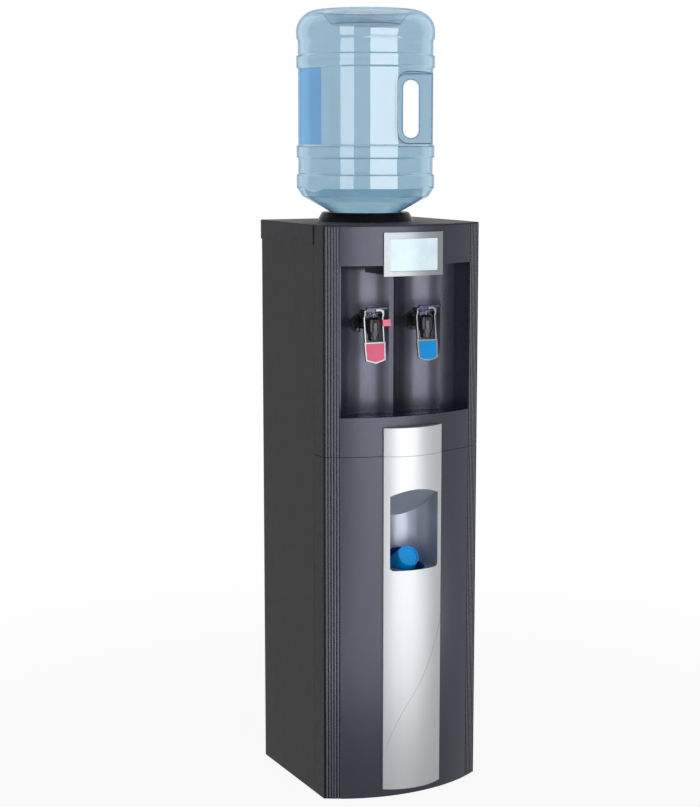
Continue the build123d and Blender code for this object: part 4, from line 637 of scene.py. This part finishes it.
class COOLER_OT_stage(bpy.types.Operator):
    """Lay the pale floor, light the studio and set the white surroundings"""

    bl_idname = "cooler.stage"
    bl_label = "Stage"

    def execute(self, context):
        studio = context.scene.cooler_studio
        self.lay_floor(studio)
        self.hang_lamps(studio)
        self.surround(context.scene, studio)
        context.scene.view_settings.view_transform = "Standard"
        return {"FINISHED"}

    def lay_floor(self, studio):
        """A round floor a hair under the feet, with a disc in its middle."""
        bpy.ops.mesh.primitive_circle_add(
            vertices=96, radius=studio.floor_radius, fill_type="NGON",
            location=(0, 0, -studio.floor_drop),
        )
        floor = named(bpy.context.object, "studio_floor")
        editing(floor)
        bpy.ops.mesh.inset(thickness=studio.floor_radius - studio.floor_middle)
        done_editing()
        settle(floor)
        wear(floor, self.floor_finish(studio))

    def hang_lamps(self, studio):
        """Two upright soft boxes, a card on the floor and a box overhead."""
        area_lamp(
            "front_softbox", place=(0.19, -2.9, 0.93), aim=(0, 0, 0.93),
            size=(2.5, 1.64), watts=studio.front_box,
        )
        area_lamp(
            "side_strip", place=(-2.3, -1.45, 1.12), aim=(0, 0, 0.9),
            size=(1.1, 2.1), watts=studio.side_strip,
        )
        area_lamp(
            "floor_card", place=(0.30, -1.80, 0.02), aim=(0.30, -1.80, 1),
            size=(2.0, 2.2), watts=studio.floor_card,
        )
        area_lamp(
            "overhead_softbox", place=(0.3, -0.4, 3.3), aim=(0, 0, 0.6),
            size=(2.4, 2.4), watts=studio.overhead,
        )

    def surround(self, scene, studio):
        """White where the studio is seen, and a faint soft light from all round."""
        world = bpy.data.worlds.new("studio_surroundings")
        world.use_nodes = True
        scene.world = world
        tree = world.node_tree
        tree.nodes.clear()
        output = tree.nodes.new("ShaderNodeOutputWorld")
        background = tree.nodes.new("ShaderNodeBackground")
        background.inputs["Color"].default_value = (1, 1, 1, 1)
        strength = tree.nodes.new("ShaderNodeMapRange")
        strength.inputs["To Min"].default_value = studio.ambient
        strength.inputs["To Max"].default_value = 1.0
        tree.links.new(self.seen(tree), strength.inputs["Value"])
        tree.links.new(strength.outputs["Result"], background.inputs["Strength"])
        tree.links.new(background.outputs[0], output.inputs[0])

    def seen(self, tree):
        """One where a camera, glossy or transmission ray looks, else nought."""
        path = tree.nodes.new("ShaderNodeLightPath")
        rays = ("Is Camera Ray", "Is Glossy Ray", "Is Transmission Ray")
        total = path.outputs[rays[0]]
        for ray in rays[1:]:
            both = tree.nodes.new("ShaderNodeMath")
            both.operation = "MAXIMUM"
            tree.links.new(total, both.inputs[0])
            tree.links.new(path.outputs[ray], both.inputs[1])
            total = both.outputs[0]
        return total

    def floor_finish(self, studio):
        """Pale floor that keeps the shadow and fades to white far out."""
        white_near, white_far = 0.93, 1.0
        fade_from, fade_to = 0.5, 1.8
        finish = Finish("studio_floor_finish", Roughness=0.6, Specular_IOR_Level=0.2)
        tint = studio.floor
        finish.shades(finish.noise(3.0), shade(tint, 0.99), shade(tint, 1.01))
        glow = finish.add("ShaderNodeEmission", Strength=1.0)
        mix = finish.add("ShaderNodeMixShader")
        distance = finish.add("ShaderNodeVectorMath", operation="LENGTH")
        finish.link(finish.place.outputs["Object"], distance.inputs[0])
        fade = finish.span(distance.outputs["Value"], white_near, white_far, fade_from, fade_to)
        share = finish.add("ShaderNodeMath", operation="MULTIPLY")
        finish.link(fade, share.inputs[0])
        finish.link(self.seen(finish.tree), share.inputs[1])
        finish.link(share.outputs[0], mix.inputs["Fac"])
        finish.link(finish.shader.outputs[0], mix.inputs[1])
        finish.link(glow.outputs[0], mix.inputs[2])
        finish.link(mix.outputs[0], finish.output.inputs[0])
        return finish.material


# ------------------------------------------------------------------ cabinet
class COOLER_OT_cabinet(bpy.types.Operator):
    """Round the edges of the cabinet's panels and mouldings"""

    bl_idname = "cooler.cabinet"
    bl_label = "Cabinet"

    def execute(self, context):
        sizes = context.scene.cooler_sizes
        tint = context.scene.cooler_colours
        flanks = satin_moulding("flank_matt_plastic", tint.steel, (0.46, 0.52), specular=0.18)
        # painted shade in the flute beds and painted highlight on the lands, as darker and lighter
        # copies of the front moulding
        painted_bed_shades = satin_moulding("flute_bed_painted_shade", tint.painted_bed_shade, (0.34, 0.40), specular=0.1)
        painted_land_highlights = satin_moulding("flute_land_painted_highlight", tint.painted_land_highlight, (0.26, 0.30), specular=1.0)
        wear(dressed("top_cover", sizes.crease, sizes.fine_edge), flanks)
        for node in ("upper_front_panel", "lower_front_panel"):
            panel = dressed(node, sizes.crease, sizes.fine_edge)
            for material in (flanks, painted_bed_shades, painted_land_highlights):
                panel.data.materials.append(material)
            self.finish_corners(panel, sizes)
        for node in ("side_panel_left", "side_panel_right", "back_panel", "base_pan"):
            dressed(node, sizes.crease, sizes.fine_edge)
        return {"FINISHED"}

    def finish_corners(self, panel, sizes):
        """Matt flanks, painted shade in the flute beds and corner strip, painted highlight on the
        lands.
        """
        flank, painted_bed_shade, painted_land_highlight = 1, 2, 3  # places in the panel's list of materials
        sideways, backwards = 0.97, 0.3
        on_flank = 0.0002
        last_land = sizes.flute_count - 0.4
        edge = panel.dimensions.x / 2
        for face in panel.data.polygons:
            inward = edge - abs(face.center.x)
            flutes_in = (inward - sizes.flute_margin) / sizes.flute_pitch
            from_bed = abs(flutes_in - round(flutes_in)) * sizes.flute_pitch
            if abs(face.normal.x) > sideways and inward < on_flank:
                face.material_index = flank
            elif face.normal.y > backwards or flutes_in > last_land:
                continue
            # faces in a flute's bed or the corner strip take the painted shade, the rest the
            # painted highlight of the lands
            elif from_bed < sizes.flute_shade or inward < sizes.corner_shade:
                face.material_index = painted_bed_shade
            else:
                face.material_index = painted_land_highlight


class COOLER_OT_front(bpy.types.Operator):
    """Round the edges of the silver fascia, the badge, the niche and the recess"""

    bl_idname = "cooler.front"
    bl_label = "Front trim"

    def execute(self, context):
        sizes = context.scene.cooler_sizes
        for node in ("fascia_upper", "fascia_lower", "badge_frame", "niche_liner", "recess_liner"):
            dressed(node, sizes.crease, sizes.edge)
        for node in ("badge_inlay", "drip_tray", "drip_grille", "cup_tube"):
            dressed(node, sizes.crease, sizes.fine_edge)
        return {"FINISHED"}


class COOLER_OT_taps(bpy.types.Operator):
    """Round the taps, levers, inserts and lever caps, and smooth the stems and the red catch"""

    bl_idname = "cooler.taps"
    bl_label = "Taps"

    def execute(self, context):
        sizes = context.scene.cooler_sizes
        for side in ("hot", "cold"):
            for part in ("tap_body", "lever", "lever_insert"):
                dressed(f"{side}_{part}", sizes.crease, sizes.fine_edge)
            dressed(f"{side}_lever_cap", sizes.crease, sizes.edge)
            dressed(f"{side}_stem", sizes.crease)
        dressed("hot_catch", sizes.cup_crease)
        return {"FINISHED"}


class COOLER_OT_cups(bpy.types.Operator):
    """Smooth the front cup and the stack behind it"""

    bl_idname = "cooler.cups"
    bl_label = "Cups"

    def execute(self, context):
        for node in ("front_cup", "cup_stack", "cup_pusher"):
            dressed(node, context.scene.cooler_sizes.cup_crease)
        return {"FINISHED"}


class COOLER_OT_bottle(bpy.types.Operator):
    """Smooth the bottle, its water and the collar it stands in"""

    bl_idname = "cooler.bottle"
    bl_label = "Bottle"

    def execute(self, context):
        sizes = context.scene.cooler_sizes
        tint = context.scene.cooler_colours
        for node in ("bottle", "bottle_water", "bottle_collar", "bottle_cap", "feed_probe"):
            dressed(node, sizes.bottle_crease)
        self.meniscus(sizes, tint)
        self.label_film(sizes, tint)
        return {"FINISHED"}

    def meniscus(self, sizes, tint):
        """A ring of painted shade where the water meets the wall, for the dark line of the water's
        edge.
        """
        bpy.ops.mesh.primitive_torus_add(
            major_segments=sizes.ring_sides, minor_segments=8,
            major_radius=sizes.water_radius, minor_radius=sizes.meniscus,
            location=(bottle_x, bottle_y, water_top),
        )
        ring = named(bpy.context.object, "water_meniscus")
        settle(ring)
        smooth(ring, sizes.ring_crease)
        wear(ring, gloss_plastic("water_edge_painted_shade", tint.painted_waterline_shade, 0.2))
        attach(ring, body_holding("bottle_water"))

    def label_film(self, sizes, tint):
        """A bare film round part of the barrel, between the ribs."""
        low, high = deck_z + sizes.label_low, deck_z + sizes.label_high
        bpy.ops.mesh.primitive_cylinder_add(
            vertices=sizes.label_sides, radius=sizes.label_radius, depth=high - low,
            end_fill_type="NOTHING", location=(bottle_x, bottle_y, (low + high) / 2),
        )
        film = named(bpy.context.object, "bottle_label_film")
        settle(film)
        editing(film)
        for turn, far in ((sizes.label_from, False), (sizes.label_to, True)):
            bpy.ops.mesh.select_all(action="SELECT")
            bpy.ops.mesh.bisect(
                plane_co=(bottle_x, bottle_y, low),
                plane_no=(-math.cos(turn), math.sin(turn), 0),
                clear_inner=not far, clear_outer=far,
            )
        done_editing()
        finish_modifier(film, "SOLIDIFY", thickness=sizes.label_film, offset=1.0)
        smooth(film, sizes.cup_crease)
        film_plastic = clear_plastic(
            "label_film_plain", tint.label, rough=0.12, ior=1.05, coat=0.6
        )
        wear(film, film_plastic.material)
        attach(film, body_holding("bottle"))


class COOLER_OT_works(bpy.types.Operator):
    """Smooth the tanks, the cooling circuit and the fittings at the back"""

    bl_idname = "cooler.works"
    bl_label = "Works and back"

    def execute(self, context):
        for node in (
            "cold_tank", "hot_tank", "hot_tank_jacket", "tank_insulation", "evaporator_coil",
            "water_hoses", "compressor", "compressor_mounts", "condenser", "feet", "drain_cap",
            "back_screws", "switch_housings", "mains_inlet", "tank_shelf", "lever_pins",
            "tap_nuts", "hot_switch_rocker", "cold_switch_rocker", "refrigerant_pipes",
            "filter_drier", "thermostat",
        ):
            dressed(node, context.scene.cooler_sizes.pipe_crease)
        return {"FINISHED"}


class COOLER_PT_panel(bpy.types.Panel):
    """Every step and every setting of the cooler"""

    bl_label = "Water cooler"
    bl_idname = "COOLER_PT_panel"
    bl_space_type = "VIEW_3D"
    bl_region_type = "UI"
    bl_category = "Water cooler"

    def draw(self, context):
        for operator in steps:
            self.layout.operator(operator.bl_idname)
        for group in ("cooler_colours", "cooler_sizes", "cooler_studio"):
            settings = getattr(context.scene, group)
            box = self.layout.box()
            for name in settings.bl_rna.properties.keys():
                if name not in {"rna_type", "name"}:
                    box.prop(settings, name)


steps = (
    COOLER_OT_camera,
    COOLER_OT_stage,
    COOLER_OT_finishes,
    COOLER_OT_cabinet,
    COOLER_OT_front,
    COOLER_OT_taps,
    COOLER_OT_cups,
    COOLER_OT_bottle,
    COOLER_OT_works,
)
groups = (
    ("cooler_colours", CoolerColours),
    ("cooler_sizes", CoolerSizes),
    ("cooler_studio", CoolerStudio),
)


def register():
    """Tell Blender about the settings, the steps and the panel."""
    for name, group in groups:
        bpy.utils.register_class(group)
        setattr(bpy.types.Scene, name, PointerProperty(type=group))
    for operator in steps:
        bpy.utils.register_class(operator)
    bpy.utils.register_class(COOLER_PT_panel)


def unregister():
    """Take them all back again."""
    bpy.utils.unregister_class(COOLER_PT_panel)
    for operator in reversed(steps):
        bpy.utils.unregister_class(operator)
    for name, group in reversed(groups):
        delattr(bpy.types.Scene, name)
        bpy.utils.unregister_class(group)


def main():
    """Dress the cooler step by step."""
    register()
    for operator in steps:
        family, verb = operator.bl_idname.split(".")
        getattr(getattr(bpy.ops, family), verb)()


if __name__ == "__main__":
    main()
